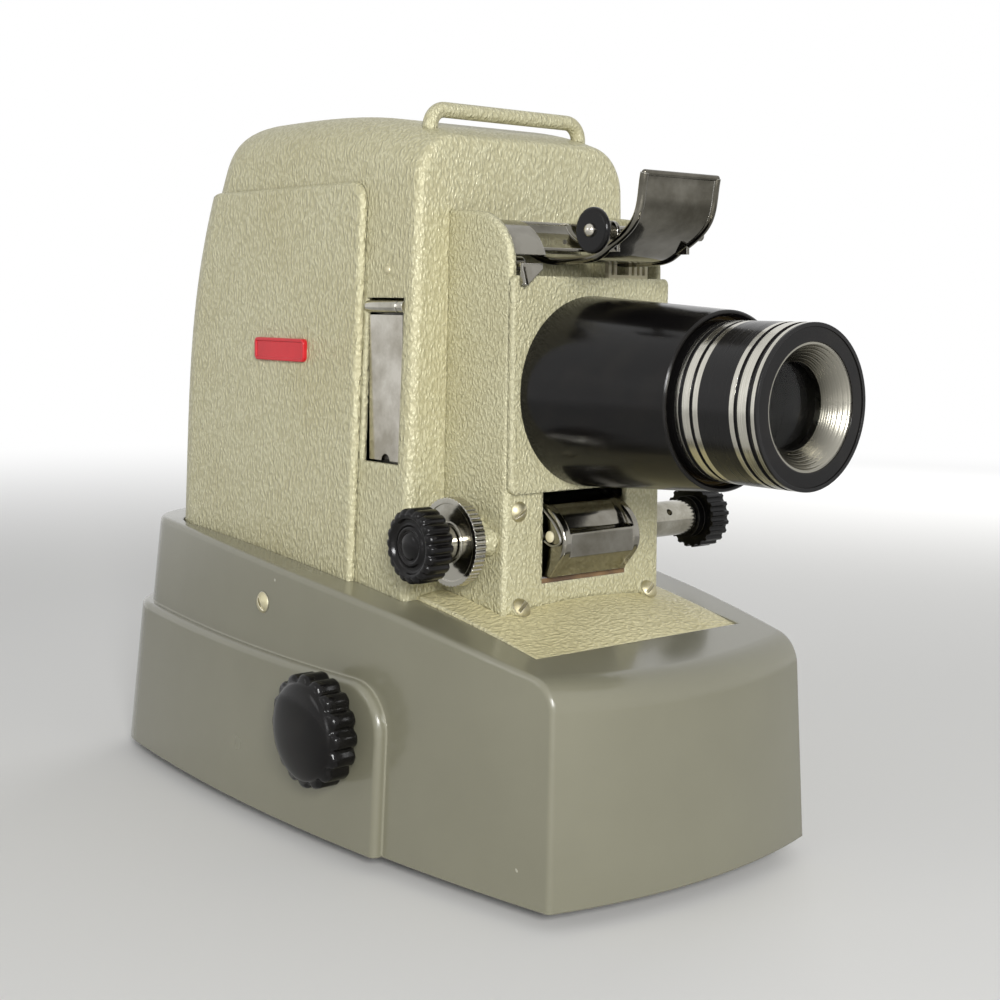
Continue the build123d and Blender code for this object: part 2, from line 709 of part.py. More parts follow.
def low_screw_place(side):
    """In the corner between head and deck, half way between their faces."""
    return Pos(side * HEAD_SCREW_HALF, HEAD_FRONT_Y - 2.7, HEAD_SCREW_LOW_Z) * Rot(53.4, 0, 0)


def head_screw_places():
    high = Pos(-HEAD_SCREW_HALF, HEAD_FRONT_Y, HEAD_SCREW_HIGH_Z) * Rot(90, 0, 0)
    return [high, low_screw_place(-1), low_screw_place(1)]


def head_screws():
    screw = slotted_screw(HEAD_SCREW_HEAD_R, 2.4, HEAD_SCREW_SHANK_R, 8)
    return Compound(children=[place * screw for place in head_screw_places()])


def lens_plate():
    middle = (PLATE_LOW_Z + PLATE_TOP_Z) / 2
    outline = Pos(0, middle) * RectangleRounded(2 * PLATE_HALF, PLATE_TOP_Z - PLATE_LOW_Z, PLATE_CORNER_R)
    plate = front_prism(outline, PLATE_FRONT_Y, HEAD_FRONT_Y)
    return plate - rod_y(TUBE_BORE_R, PLATE_FRONT_Y - 1, HEAD_FRONT_Y + 1, 0, AXIS_Z)


def lens_tube():
    tube = turned_y([
        (TUBE_FRONT_Y, TUBE_FRONT_R - 0.6), (TUBE_FRONT_Y + 0.6, TUBE_FRONT_R), (PLATE_FRONT_Y, TUBE_REAR_R),
        (PLATE_FRONT_Y, TUBE_BORE_R), (TUBE_FRONT_Y + 1.5, TUBE_BORE_R), (TUBE_FRONT_Y, TUBE_BORE_R + 1.2),
    ], 0, AXIS_Z)
    return tube


def barrel_guide():
    """Brass ring in the tube that the barrel slides in."""
    y0 = TUBE_FRONT_Y + 6
    ring = rod_y(TUBE_BORE_R, y0, y0 + GUIDE_LENGTH, 0, AXIS_Z)
    return ring - rod_y(BARREL_R + RUN, y0 - 1, y0 + GUIDE_LENGTH + 1, 0, AXIS_Z)


# Lens barrel and its glass

def lens_barrel():
    """Barrel with shallow grooves between its bright bands, and the cell that holds the front glass."""
    groove_places = ((2.8, 5.0), (9.4, 11.2), (32.4, 34.0), (38.0, 40.0))
    y0 = LENS_FRONT_Y
    body = rod_y(BARREL_R, y0, BARREL_REAR_Y, 0, AXIS_Z)
    body = body - rod_y(BARREL_R - 1.6, y0 - 1, CELL_Y, 0, AXIS_Z)
    body = body - rod_y(GLASS_R + 3, CELL_Y - 1, CELL_Y + FRONT_LENS_T + 0.9, 0, AXIS_Z)
    body = body - rod_y(GLASS_R + 1.4, CELL_Y - 1, CELL_Y + 14, 0, AXIS_Z)
    body = body - rod_y(BARREL_R - BARREL_WALL, CELL_Y + 12, BARREL_REAR_Y + 1, 0, AXIS_Z)
    for near, far in groove_places:
        ring = rod_y(BARREL_R + 1, y0 + near, y0 + far, 0, AXIS_Z)
        body = body - (ring - rod_y(BARREL_R - 0.6, y0 + near, y0 + far, 0, AXIS_Z))
    return body


def front_ring():
    """Black face ring, left without lettering."""
    y0 = LENS_FRONT_Y + 0.4
    ring = rod_y(BARREL_R - 1.6, y0, y0 + 12, 0, AXIS_Z)
    return ring - rod_y(NAME_RING_R, y0 - 1, y0 + 13, 0, AXIS_Z)


def cone_ring():
    """Polished funnel with fine steps that leads in to the front glass."""
    y0 = LENS_FRONT_Y + 0.9
    steps = 6
    inner = []
    for i in range(steps):
        radius = NAME_RING_R - 1 - (NAME_RING_R - 1 - GLASS_R) * i / steps
        inner.append((y0 + CONE_DEPTH * i / steps, radius))
        inner.append((y0 + CONE_DEPTH * (i + 0.85) / steps, radius - 0.9))
    outline = [(y0, NAME_RING_R), *inner, (y0 + CONE_DEPTH, GLASS_R), (y0 + 12, GLASS_R), (y0 + 12, NAME_RING_R)]
    return turned_y(outline, 0, AXIS_Z)


def glass(y, radius, thickness, front_bulge, rear_bulge):
    """A lens between two faces, spherical or flat, its rim starting at y."""
    body = rod_y(radius, y - 2 * front_bulge, y + thickness + 2 * rear_bulge, 0, AXIS_Z)
    for side, bulge, edge in ((1, front_bulge, y), (-1, rear_bulge, y + thickness)):
        if bulge > 0:
            sphere_r = (radius**2 + bulge**2) / (2 * bulge)
            centre = edge + side * (sphere_r - bulge)
            body = body & Pos(0, centre, AXIS_Z) * Sphere(sphere_r)
    return body


def lens_glass():
    """Front glass in the cell and two more elements down the barrel."""
    front = glass(CELL_Y + 0.6, GLASS_R + 3, FRONT_LENS_T, 2.0, 1.0)
    middle = glass(-40, BARREL_R - BARREL_WALL, 6, 3.0, 1.5)
    rear = glass(-2, BARREL_R - BARREL_WALL, 6, 2.0, 1.5)
    return Compound(children=[front, middle, rear])


# Film cradle, hood, spindle and latch

def head_room():
    """The space between the side walls of the head, to their inner faces."""
    return front_prism(head_section(-HEAD_WALL), HEAD_FRONT_Y, HOUSE_FRONT_Y)


def cradle_line():
    """Side view of the trough from its front tip to the rear of the head."""
    low_y = HEAD_FRONT_Y - 2
    front = Spline((CRADLE_TIP_Y, CRADLE_TIP_Z), (-17.0, 285.5), (-2.0, 274.4), (low_y, CRADLE_LOW_Z),
                   tangents=((0.25, -1), (1, 0)))
    rear = Spline((low_y, CRADLE_LOW_Z), (low_y + 24, CRADLE_LOW_Z + 7), (HOUSE_FRONT_Y - 4.5, HEAD_TOP_Z - 4.5),
                  tangents=((1, 0), (0.5, 1)))
    return Wire([front.edge(), rear.edge()])


def film_cradle():
    """Chrome trough with rolled side edges, a film slot, and two ears for the spindle."""
    line = cradle_line()
    body = side_prism(trace(line, CRADLE_T), CRADLE_HALF)
    for side in (-1, 1):
        path = Plane.YZ.offset(side * CRADLE_HALF).from_local_coords(line)
        body = body + sweep(Plane(path @ 0, z_dir=path % 0) * Circle(BEAD_R), path=path)
        x = side * (CRADLE_HALF - 0.6)
        ear = rod_x(EAR_R, x - 0.8, x + 0.8, SPINDLE_Y, SPINDLE_Z)
        ear = ear + block(x - 0.8, x + 0.8, SPINDLE_Y - EAR_R, SPINDLE_Y + EAR_R, SPINDLE_Z - 8.5, SPINDLE_Z)
        body = body + ear
    body = body - rod_x(SPINDLE_R + RUN, -30, 30, SPINDLE_Y, SPINDLE_Z)
    return body - block(-18, 18, GATE_Y - 5, GATE_Y + 2, HEAD_FLOOR_Z, HEAD_TOP_Z)


def gate_hood():
    """Convex cover between the side walls, open in the middle for the trough, with the latch pin."""
    centre_y = HEAD_FRONT_Y + HEAD_SHOULDER_R
    centre_z = HEAD_TOP_Z - HEAD_SHOULDER_R - 2.5
    bend = CenterArc((centre_y, centre_z), HOOD_R, 90, 70)
    flat = Line(bend @ 0, (HOUSE_FRONT_Y - SLIDE, centre_z + HOOD_R + 1))
    sheet = side_prism(trace([bend, flat], HOOD_T), HEAD_HALF_LOW) & head_room()
    gap = CRADLE_HALF + BEAD_R + 0.5
    sheet = sheet - block(-gap, gap, 0, HOUSE_FRONT_Y - 2.5, HEAD_FLOOR_Z, TALL)
    pin = rod_x(LATCH_PIN_R, -HEAD_HALF_LOW, LATCH_X1 + 2, LATCH_PIN_Y, LATCH_PIN_Z) & head_room()
    return Compound(children=[*sheet.solids(), *pin.solids()])


def film_spindle():
    return rod_x(SPINDLE_R, -33.2, 33, SPINDLE_Y, SPINDLE_Z)


def spindle_disc():
    disc = rod_x(SPINDLE_DISC_R, -33, -33 + SPINDLE_DISC_T, SPINDLE_Y, SPINDLE_Z)
    disc = fillet(disc.edges(), 1.4)
    cap = rod_x(SPINDLE_R + 0.8, 26, 29, SPINDLE_Y, SPINDLE_Z)
    return Compound(children=[shape - rod_x(SPINDLE_R, -40, 40, SPINDLE_Y, SPINDLE_Z) for shape in (disc, cap)])


def film_latch():
    """Tab in front of the head, with an arm that runs back under the hood to its pin."""
    x0, x1 = LATCH_X0, LATCH_X1
    y0 = HEAD_FRONT_Y - 5.7
    arm_z = LATCH_PIN_Z - 1.9
    outline = Polyline((x0 - 2, arm_z + LATCH_T), (x0 - 2, arm_z - 7.6), (x0 + 0.7, arm_z - 8), (x1, arm_z - 0.8),
                       (x1, arm_z + LATCH_T), close=True)
    tab = front_prism(make_face(outline), y0, y0 + LATCH_T)
    fin = side_prism(make_face(Polyline((y0, arm_z - 7), (y0 - 2.4, arm_z - 7.5), (y0, arm_z), close=True)), LATCH_T / 2)
    arm = block(x0, x1, y0, LATCH_PIN_Y, arm_z, arm_z + LATCH_T)
    boss = rod_x(LATCH_PIN_R + 1.5, x0, x1, LATCH_PIN_Y, LATCH_PIN_Z)
    body = tab + arm + boss + Pos(x0 - 2 + LATCH_T / 2, 0, 0) * fin
    return body - rod_x(LATCH_PIN_R + RUN, -60, 0, LATCH_PIN_Y, LATCH_PIN_Z)


def film_guide_comb():
    """Cream comb between the head and the right side of the trough."""
    y0 = HEAD_FRONT_Y + 0.3
    bar = block(12, 36.5, y0, y0 + 2.4, HEAD_FLOOR_Z, HEAD_FLOOR_Z + 1.4)
    for x in (12, 15.4, 24.6, 28, 31.4, 34.8):
        bar = bar + block(x, x + 1.7, y0, y0 + 2.4, HEAD_FLOOR_Z + 1, CRADLE_LOW_Z - CRADLE_T / 2 - 0.05)
    return bar


# Film gate

def gate_pins():
    return [(x, AXIS_Z + z) for x in (-GATE_PIN_X, GATE_PIN_X) for z in (-GATE_PIN_RISE, GATE_PIN_RISE)]


def aperture_plate():
    y0 = GATE_Y - GATE_T / 2
    plate = head_room() & block(-TALL, TALL, y0, y0 + GATE_T, PLATE_LOW_Z, HEAD_FLOOR_Z - HEAD_WALL)
    plate = plate - block(-APERTURE_W / 2, APERTURE_W / 2, y0 - 5, y0 + 5, AXIS_Z - APERTURE_H / 2, AXIS_Z + APERTURE_H / 2)
    for x, z in gate_pins():
        plate = plate + rod_y(GATE_PIN_R, y0 - 9, y0, x, z)
    return plate


def pressure_plate():
    """Flat plate with a raised film track, free on four pins."""
    y1 = GATE_Y - GATE_T / 2 - 0.3
    middle = AXIS_Z
    half_h = PRESSURE_H / 2
    plate = block(-PRESSURE_HALF, PRESSURE_HALF, y1 - PRESSURE_T - 1, y1 - 1, middle - half_h, middle + half_h)
    for x in (-16.2, 16.2):
        plate = plate + block(x - 1.8, x + 1.8, y1 - 1.5, y1, middle - half_h, middle + half_h)
    plate = plate - block(-13, 13, y1 - 9, y1 + 9, middle - 10, middle + 10)
    for x, z in gate_pins():
        plate = plate - rod_y(GATE_PIN_R + RUN, y1 - 9, y1 + 9, x, z)
    return plate


# Film advance

def advance_shaft():
    """Shaft through the head, with the bright neck of the left knob."""
    left = LEFT_KNOB_FACE_X + 5.6
    shaft = rod_x(ADVANCE_SHAFT_R, left, RIGHT_KNOB_FACE_X - 3, ADVANCE_Y, ADVANCE_Z)
    neck_x = LEFT_KNOB_FACE_X + LEFT_KNOB_T
    neck = rod_x(NECK_R, neck_x, DISC_FACE_X - 0.6, ADVANCE_Y, ADVANCE_Z)
    groove = rod_x(NECK_R + 1, neck_x + 3, neck_x + 4.2, ADVANCE_Y, ADVANCE_Z)
    groove = groove - rod_x(NECK_R - 1, neck_x + 3, neck_x + 4.2, ADVANCE_Y, ADVANCE_Z)
    return shaft + neck - groove


def left_knob():
    rim = fluted(KNOB_R, KNOB_FLUTES, 1.7, 1.3, LEFT_KNOB_T)
    rim = rim - Pos(0, 0, LEFT_KNOB_T) * (Cylinder(KNOB_R - 2.4, 2) - Cylinder(KNOB_R - 3.6, 2))
    rim = rim - Pos(0, 0, LEFT_KNOB_T) * (Cylinder(8.2, 1.6) - Cylinder(7, 1.6))
    rim = rim - rod_z(ADVANCE_SHAFT_R, -1, LEFT_KNOB_T - 5.6, 0, 0)
    return Pos(LEFT_KNOB_FACE_X + LEFT_KNOB_T, ADVANCE_Y, ADVANCE_Z) * Rot(0, -90, 0) * rim


def right_knob():
    radius = KNOB_R - 0.9
    rim = fluted(radius, KNOB_FLUTES, 1.7, 1.3, RIGHT_KNOB_T - 4)
    rim = Pos(0, 0, 4) * rim + rod_z(COLLAR_R + 1.5, 0, 5, 0, 0)
    rim = rim - Pos(0, 0, RIGHT_KNOB_T) * (Cylinder(radius - 2.4, 2) - Cylinder(radius - 3.6, 2))
    rim = rim - rod_z(ADVANCE_SHAFT_R, -1, RIGHT_KNOB_T - 3, 0, 0)
    return Pos(RIGHT_KNOB_FACE_X - RIGHT_KNOB_T, ADVANCE_Y, ADVANCE_Z) * Rot(0, 90, 0) * rim


def right_collar():
    """Bright collar with a set screw hole, between the head and the right knob."""
    x0 = HEAD_HALF_LOW + 0.4
    x1 = RIGHT_KNOB_FACE_X - RIGHT_KNOB_T
    body = rod_x(COLLAR_R, x0, x1, ADVANCE_Y, ADVANCE_Z)
    body = chamfer(body.edges(), 0.6)
    body = body - rod_x(ADVANCE_SHAFT_R, x0 - 1, x1 + 1, ADVANCE_Y, ADVANCE_Z)
    middle = (x0 + x1) / 2
    return body - Pos(middle, ADVANCE_Y, ADVANCE_Z) * Rot(60, 0, 0) * rod_z(1.7, 5.2, 20, 0, 0)


def film_sprocket():
    """Two toothed rims for 35 mm film on one hub."""
    hub = rod_x(SPROCKET_R - 3, -18, 18, ADVANCE_Y, ADVANCE_Z)
    for side in (-1, 1):
        x = side * FILM_PITCH_HALF
        hub = hub + rod_x(SPROCKET_R, x - 2.6, x + 2.6, ADVANCE_Y, ADVANCE_Z)
        point = Cone(1.0, 0.5, 2.2)
        for i in range(SPROCKET_TEETH):
            turn = Rot(360 / SPROCKET_TEETH * i, 0, 0)
            hub = hub + Pos(x, ADVANCE_Y, ADVANCE_Z) * turn * Pos(0, 0, SPROCKET_R + 0.7) * point
    return hub - rod_x(ADVANCE_SHAFT_R, -30, 30, ADVANCE_Y, ADVANCE_Z)


def framing_disc():
    """Knurled disc beside the left knob, on a sleeve that turns in the boss."""
    notches = PolarLocations(DISC_R + 0.35, DISC_NOTCHES) * Circle(0.75)
    rim = extrude(Circle(DISC_R) - notches, amount=DISC_T)
    dish = Pos(0, 0, DISC_T) * (Cylinder(DISC_R - 2.6, 1.2) - Cylinder(NECK_R + 1.5, 1.2))
    rim = rim - dish
    disc = Pos(DISC_FACE_X + DISC_T, ADVANCE_Y, ADVANCE_Z) * Rot(0, -90, 0) * rim
    sleeve = rod_x(SLEEVE_R, DISC_FACE_X + DISC_T - 0.5, -HEAD_HALF_LOW + 4, ADVANCE_Y, ADVANCE_Z)
    return disc + sleeve - rod_x(ADVANCE_SHAFT_R + RUN, -90, 0, ADVANCE_Y, ADVANCE_Z)


def cone_boss():
    """Flared boss on the left side of the head that the framing sleeve turns in."""
    x0 = DISC_FACE_X + DISC_T + 0.5
    wall_x = -HEAD_HALF_LOW
    flare = turned_x([(x0, 0), (x0, BOSS_R - 0.5), (wall_x, BOSS_FLARE_R), (wall_x + 2, BOSS_FLARE_R), (wall_x + 2, 0)],
                     ADVANCE_Y, ADVANCE_Z)
    lobe = turned_x([(x0 + 2, 0), (x0 + 2, BOSS_LOBE_R - 2.2), (wall_x, BOSS_LOBE_R), (wall_x + 2, BOSS_LOBE_R),
                     (wall_x + 2, 0)], BOSS_LOBE_Y, ADVANCE_Z)
    flare = flare + lobe - front_prism(head_section(0), HEAD_FRONT_Y, HOUSE_FRONT_Y)
    spigot = rod_x(BOSS_R, x0 + 4, wall_x + HEAD_WALL + 0.6, ADVANCE_Y, ADVANCE_Z)
    return flare + spigot - rod_x(SLEEVE_R + RUN, -90, 0, ADVANCE_Y, ADVANCE_Z)


def shoe_rear():
    """The shoe's lowest and rear corners, up to its hinge, in Y and Z."""
    return [(30.6, 129.7), (45.5, 130.6), (45.5, 158), (SHOE_PIN_Y + 3, 160), (SHOE_PIN_Y + 3, 165)]


def sprocket_shoe():
    """Bright hood in front of the sprocket: two cheeks, a lower band between them and a flat pad."""
    front = SHOE_FRONT_Y
    pad_y = front + 0.8
    cheek = [(44, 166), (38.5, 164.6), (33.3, 161.9), (27.1, 158.2), (front + 2, 153.1), (front, 146.5), (pad_y, 140.6)]
    band = [(44, 164.8), (36, 162), (30, 156.5), (26.6, 151.2), (pad_y + 0.6, 150.6), (pad_y, 150), (pad_y, 139.6)]
    inner = [(46, 161.5), (37, 160.3), (31.3, 155), (28.3, 149.8), (24, 148.4), (23, 141.4), (31.4, 131.6), (60, 132.1),
             (60, 157)]
    middle = side_prism(make_face(Polyline(*band, *shoe_rear(), close=True)), SHOE_BAND_HALF)
    whole = side_prism(make_face(Polyline(*cheek, *shoe_rear(), close=True)), SHOE_HALF)
    between = block(-SHOE_BAND_HALF, SHOE_BAND_HALF, 0, 60, 120, 170)
    hollow = side_prism(make_face(Polyline(*inner, close=True)), SHOE_HALF - SHOE_T)
    back = block(-SHOE_HALF + SHOE_T, SHOE_HALF - SHOE_T, 40.2, 60, 120, 158)
    screw = rod_x(2.6, -SHOE_HALF - 1.6, -SHOE_HALF, 29.9, 148.3)
    body = (whole - between) + middle - hollow - back + screw
    pin_hole = rod_x(SHOE_PIN_R + RUN, -60, 60, SHOE_PIN_Y, SHOE_PIN_Z)
    return body - pin_hole


def shoe_pin():
    pin = rod_x(SHOE_PIN_R, -60, 60, SHOE_PIN_Y, SHOE_PIN_Z)
    return pin & head_room()


def window_seal():
    return block(-WINDOW_HALF, WINDOW_HALF, HEAD_FRONT_Y, HEAD_INNER_Y, WINDOW_LOW_Z, WINDOW_LOW_Z + 2.2)


# Pull-out optical tray

def tray_frame():
    """Carrier with a round cell for the condensers and a hollow pull end."""
    body = block(TRAY_X0, TRAY_X1, TRAY_Y0, TRAY_Y1, TRAY_LOW_Z, TRAY_HIGH_Z)
    body = body - rod_y(CONDENSER_R, TRAY_Y0 + TRAY_WALL, TRAY_Y1 + 1, 0, AXIS_Z)
    body = body - rod_y(CONDENSER_R - 2, TRAY_Y0 - 1, TRAY_Y1 + 1, 0, AXIS_Z)
    pull = block(TRAY_X0 + 4, -CONDENSER_R - 4, TRAY_Y0 - 1, TRAY_Y1 + 1, TRAY_LOW_Z + 3, TRAY_HIGH_Z - 3)
    return body - pull


def tray_end_plate():
    y0, y1 = TRAY_Y0 - 0.5, TRAY_Y1 + 0.5
    plate = block(TRAY_FACE_X, TRAY_X0, y0, y1, TRAY_LOW_Z - 0.6, TRAY_HIGH_Z)
    notch = rod_x(3.2, TRAY_FACE_X - 1, TRAY_X0 + 1, (y0 + y1) / 2, TRAY_LOW_Z - 0.6)
    return plate - notch


def condenser_glass():
    """Two condenser lenses back to back and a flat heat glass."""
    y0 = TRAY_Y0 + TRAY_WALL
    first = glass(y0, CONDENSER_R, 2, 0, 6)
    second = glass(y0 + 16, CONDENSER_R, 2, 6, 0)
    heat = glass(y0 + 18.6, CONDENSER_R, 3, 0, 0)
    return Compound(children=[first, second, heat])


def tray_rails():
    """Angle rails under and over the tray, on the front wall of the lamp house."""
    wall_y = HOUSE_FRONT_Y + HOUSE_WALL
    x0 = TRAY_X0 + 3
    x1 = TRAY_X1 + 12
    low = block(x0, x1, wall_y, SLOT_Y1 + 1, TRAY_LOW_Z - 2.5, TRAY_LOW_Z - RUN)
    low = low + block(x0, x1, TRAY_Y1 + 0.1, SLOT_Y1 + 1, TRAY_LOW_Z - 2, TRAY_LOW_Z + 3)
    high = block(x0, x1, wall_y, SLOT_Y1 + 1, TRAY_HIGH_Z + RUN, TRAY_HIGH_Z + 2.5)
    high = high + block(x0, x1, TRAY_Y1 + 0.1, SLOT_Y1 + 1, TRAY_HIGH_Z - 3, TRAY_HIGH_Z + 2)
    return Compound(children=[low, high])


def slot_guide_bar():
    z = SLOT_HIGH_Z - GUIDE_BAR_R - 0.9
    x = TRAY_FACE_X + 1.2
    bar = rod_y(GUIDE_BAR_R, SLOT_Y0, SLOT_Y1, x, z)
    groove = rod_y(GUIDE_BAR_R + 1, SLOT_Y0 + 4, SLOT_Y0 + 5, x, z) - rod_y(GUIDE_BAR_R - 0.6, SLOT_Y0 + 3, SLOT_Y0 + 6, x, z)
    return bar - groove


# Lamp and reflector

def lamp_shape(shrink):
    neck = LAMP_BASE_R - shrink
    wide = LAMP_R - shrink
    cone = Pos(0, LAMP_Y, LAMP_BASE_Z + 5) * Cone(neck, wide, 10)
    tube = rod_z(wide, LAMP_BASE_Z + 10, LAMP_TOP_Z - LAMP_R, 0, LAMP_Y)
    dome = Pos(0, LAMP_Y, LAMP_TOP_Z - LAMP_R) * Sphere(wide)
    return cone + tube + dome


def lamp_envelope():
    return lamp_shape(0) - lamp_shape(1.0)


def lamp_base():
    body = rod_z(LAMP_BASE_R, SOCKET_LOW_Z + 5, LAMP_BASE_Z, 0, LAMP_Y)
    body = body + rod_z(LAMP_BASE_R + 3, SOCKET_TOP_Z, SOCKET_TOP_Z + 1.5, 0, LAMP_Y)
    for x in (-6, 6):
        body = body + rod_z(0.8, LAMP_BASE_Z - 1, LAMP_BASE_Z + 36, x, LAMP_Y)
    coil = rod_x(2.2, -6.8, 6.8, LAMP_Y, LAMP_BASE_Z + 38)
    return body + coil + rod_x(0.8, -6.8, 6.8, LAMP_Y, LAMP_BASE_Z + 36)


def lamp_socket():
    body = rod_z(SOCKET_R, SOCKET_LOW_Z, SOCKET_TOP_Z, 0, LAMP_Y)
    return body - rod_z(LAMP_BASE_R, SOCKET_LOW_Z + 5, SOCKET_TOP_Z + 1, 0, LAMP_Y)


def lamp_bracket():
    """Bridge over the air opening, with an upright strip for the reflector."""
    top = SOCKET_LOW_Z
    bridge = block(-58, 58, LAMP_Y - 14, LAMP_Y + 14, top - BRIDGE_T, top)
    legs = block(-58, -55, LAMP_Y - 14, LAMP_Y + 14, RIM_FRONT_Z, top)
    legs = legs + block(55, 58, LAMP_Y - 14, LAMP_Y + 14, RIM_FRONT_Z, top)
    strip = block(-9, 9, LAMP_Y + 13, REFLECTOR_Y - 2, top - BRIDGE_T, top)
    strip = strip + block(-9, 9, REFLECTOR_Y - 4, REFLECTOR_Y - 2, top - BRIDGE_T, AXIS_Z - REFLECTOR_R - 1)
    return bridge + legs + strip - below_rim(SEAT_DEPTH)


def reflector():
    """Dished mirror behind the lamp, with a tab for its strip."""
    bulge = 14.0
    radius = (REFLECTOR_R**2 + bulge**2) / (2 * bulge)
    rim_y = REFLECTOR_Y - 5.5
    centre = Pos(0, rim_y + bulge - radius, AXIS_Z)
    dish = centre * Sphere(radius) - centre * Sphere(radius - 1.5)
    dish = dish & rod_y(REFLECTOR_R, rim_y, rim_y + bulge + 1, 0, AXIS_Z)
    tab = block(-9, 9, rim_y, rim_y + 1.5, AXIS_Z - REFLECTOR_R - 14, AXIS_Z - REFLECTOR_R + 2)
    return dish + tab


# Blower

def blower_motor():
    """Motor can on its saddle block, with a bored nose for the shaft."""
    can = rod_x(MOTOR_R, MOTOR_X0, MOTOR_X1, FAN_Y, FAN_Z)
    can = fillet(can.edges(), 3)
    nose = rod_x(9, MOTOR_X1 - 1, MOTOR_X1 + 5, FAN_Y, FAN_Z)
    saddle = block(MOTOR_X0 + 10, MOTOR_X1 - 10, FAN_Y - 18, FAN_Y + 18, PAN_TOP_Z, FAN_Z - MOTOR_R + 12)
    body = can + nose + saddle
    return body - rod_x(MOTOR_SHAFT_R + RUN, MOTOR_X1 - 12, MOTOR_X1 + 6, FAN_Y, FAN_Z)


def fan_wheel():
    """Squirrel-cage wheel with its shaft."""
    x1 = FAN_X0 + FAN_W
    wheel = rod_x(FAN_R, FAN_X0, FAN_X0 + 1.5, FAN_Y, FAN_Z)
    ring = rod_x(FAN_R, x1 - 1.5, x1, FAN_Y, FAN_Z) - rod_x(FAN_R - 6, x1 - 2, x1 + 1, FAN_Y, FAN_Z)
    wheel = wheel + ring + rod_x(6, FAN_X0, FAN_X0 + 18, FAN_Y, FAN_Z)
    for i in range(FAN_BLADES):
        blade = Pos(0, 0, FAN_R - 3) * Box(FAN_W - 1, 1.2, 5.5)
        turn = Pos((FAN_X0 + x1) / 2, FAN_Y, FAN_Z) * Rot(360 / FAN_BLADES * i, 0, 0)
        wheel = wheel + turn * blade
    return wheel + rod_x(MOTOR_SHAFT_R, MOTOR_X1 - 11, FAN_X0 + 18, FAN_Y, FAN_Z)


def scroll_outline(radius, z_top):
    """Side view of the scroll: a round housing with a straight outlet upwards."""
    duct = make_face(Polyline((FAN_Y, FAN_Z), (FAN_Y + radius, FAN_Z), (FAN_Y + radius, z_top), (FAN_Y, z_top), close=True))
    return Pos(FAN_Y, FAN_Z) * Circle(radius) + duct


def fan_scroll():
    x0 = FAN_X0 - 1.5 - SCROLL_T
    x1 = FAN_X0 + FAN_W + 1.5 + SCROLL_T
    top = RIM_REAR_Z - 19
    outer = extrude(Plane.YZ.offset(x0) * scroll_outline(SCROLL_R + SCROLL_T, top), amount=x1 - x0)
    inner = extrude(Plane.YZ.offset(x0 + SCROLL_T) * scroll_outline(SCROLL_R, top + 5), amount=x1 - x0 - 2 * SCROLL_T)
    feet = block(x0, x1, FAN_Y - 14, FAN_Y + 14, PAN_TOP_Z, FAN_Z - SCROLL_R)
    body = outer + feet - inner
    body = body - rod_x(FAN_R - 12, x1 - 3, x1 + 3, FAN_Y, FAN_Z)
    return body - rod_x(7, x0 - 3, x0 + 3, FAN_Y, FAN_Z)


# Rear fittings

def wall_fitting(x, z, width, height):
    """A body through the rear wall with a flange that follows the wall's face."""
    y = base_rear_y(x, z) + BULGE_PROUD
    w = width / 2
    h = height / 2
    flange = block(x - w - 4, x + w + 4, y - 8, y + FITTING_FLANGE, z - h - 4, z + h + 4) - base_volume(BULGE_PROUD)
    return flange + block(x - w, x + w, y - FITTING_DEPTH, y + 1, z - h, z + h)


def power_inlet():
    """Recessed two-pin inlet."""
    y = base_rear_y(INLET_X, INLET_Z) + BULGE_PROUD
    body = wall_fitting(INLET_X, INLET_Z, INLET_W, INLET_H)
    body = body - block(INLET_X - 11, INLET_X + 11, y - 15, y + 9, INLET_Z - 6.5, INLET_Z + 6.5)
    for dx in (-6, 6):
        body = body + rod_y(1.6, y - 16, y - 3, INLET_X + dx, INLET_Z)
    return body


def switch_pivot_y():
    return base_rear_y(SWITCH_X, SWITCH_Z) + BULGE_PROUD - 5


def switch_body():
    y = base_rear_y(SWITCH_X, SWITCH_Z) + BULGE_PROUD
    body = wall_fitting(SWITCH_X, SWITCH_Z, SWITCH_W, SWITCH_H)
    body = body - block(SWITCH_X - 3.2, SWITCH_X + 3.2, y - 12, y + 9, SWITCH_Z - 8, SWITCH_Z + 8)
    return body - switch_pin(1.2 + RUN)


def switch_pin(radius):
    return rod_x(radius, SWITCH_X - 5, SWITCH_X + 5, switch_pivot_y(), SWITCH_Z)


def switch_lever():
    """Bat lever with its own cross pin, which turns in the switch body."""
    y = switch_pivot_y()
    hub = rod_x(3.6, SWITCH_X - 2.8, SWITCH_X + 2.8, y, SWITCH_Z)
    bat = Pos(SWITCH_X, y + 8.5, SWITCH_Z) * Rot(-90, 0, 0) * Cone(1.6, 2.4, 17)
    tip = Pos(SWITCH_X, y + 17, SWITCH_Z) * Sphere(2.4)
    return hub + bat + tip + switch_pin(1.2)


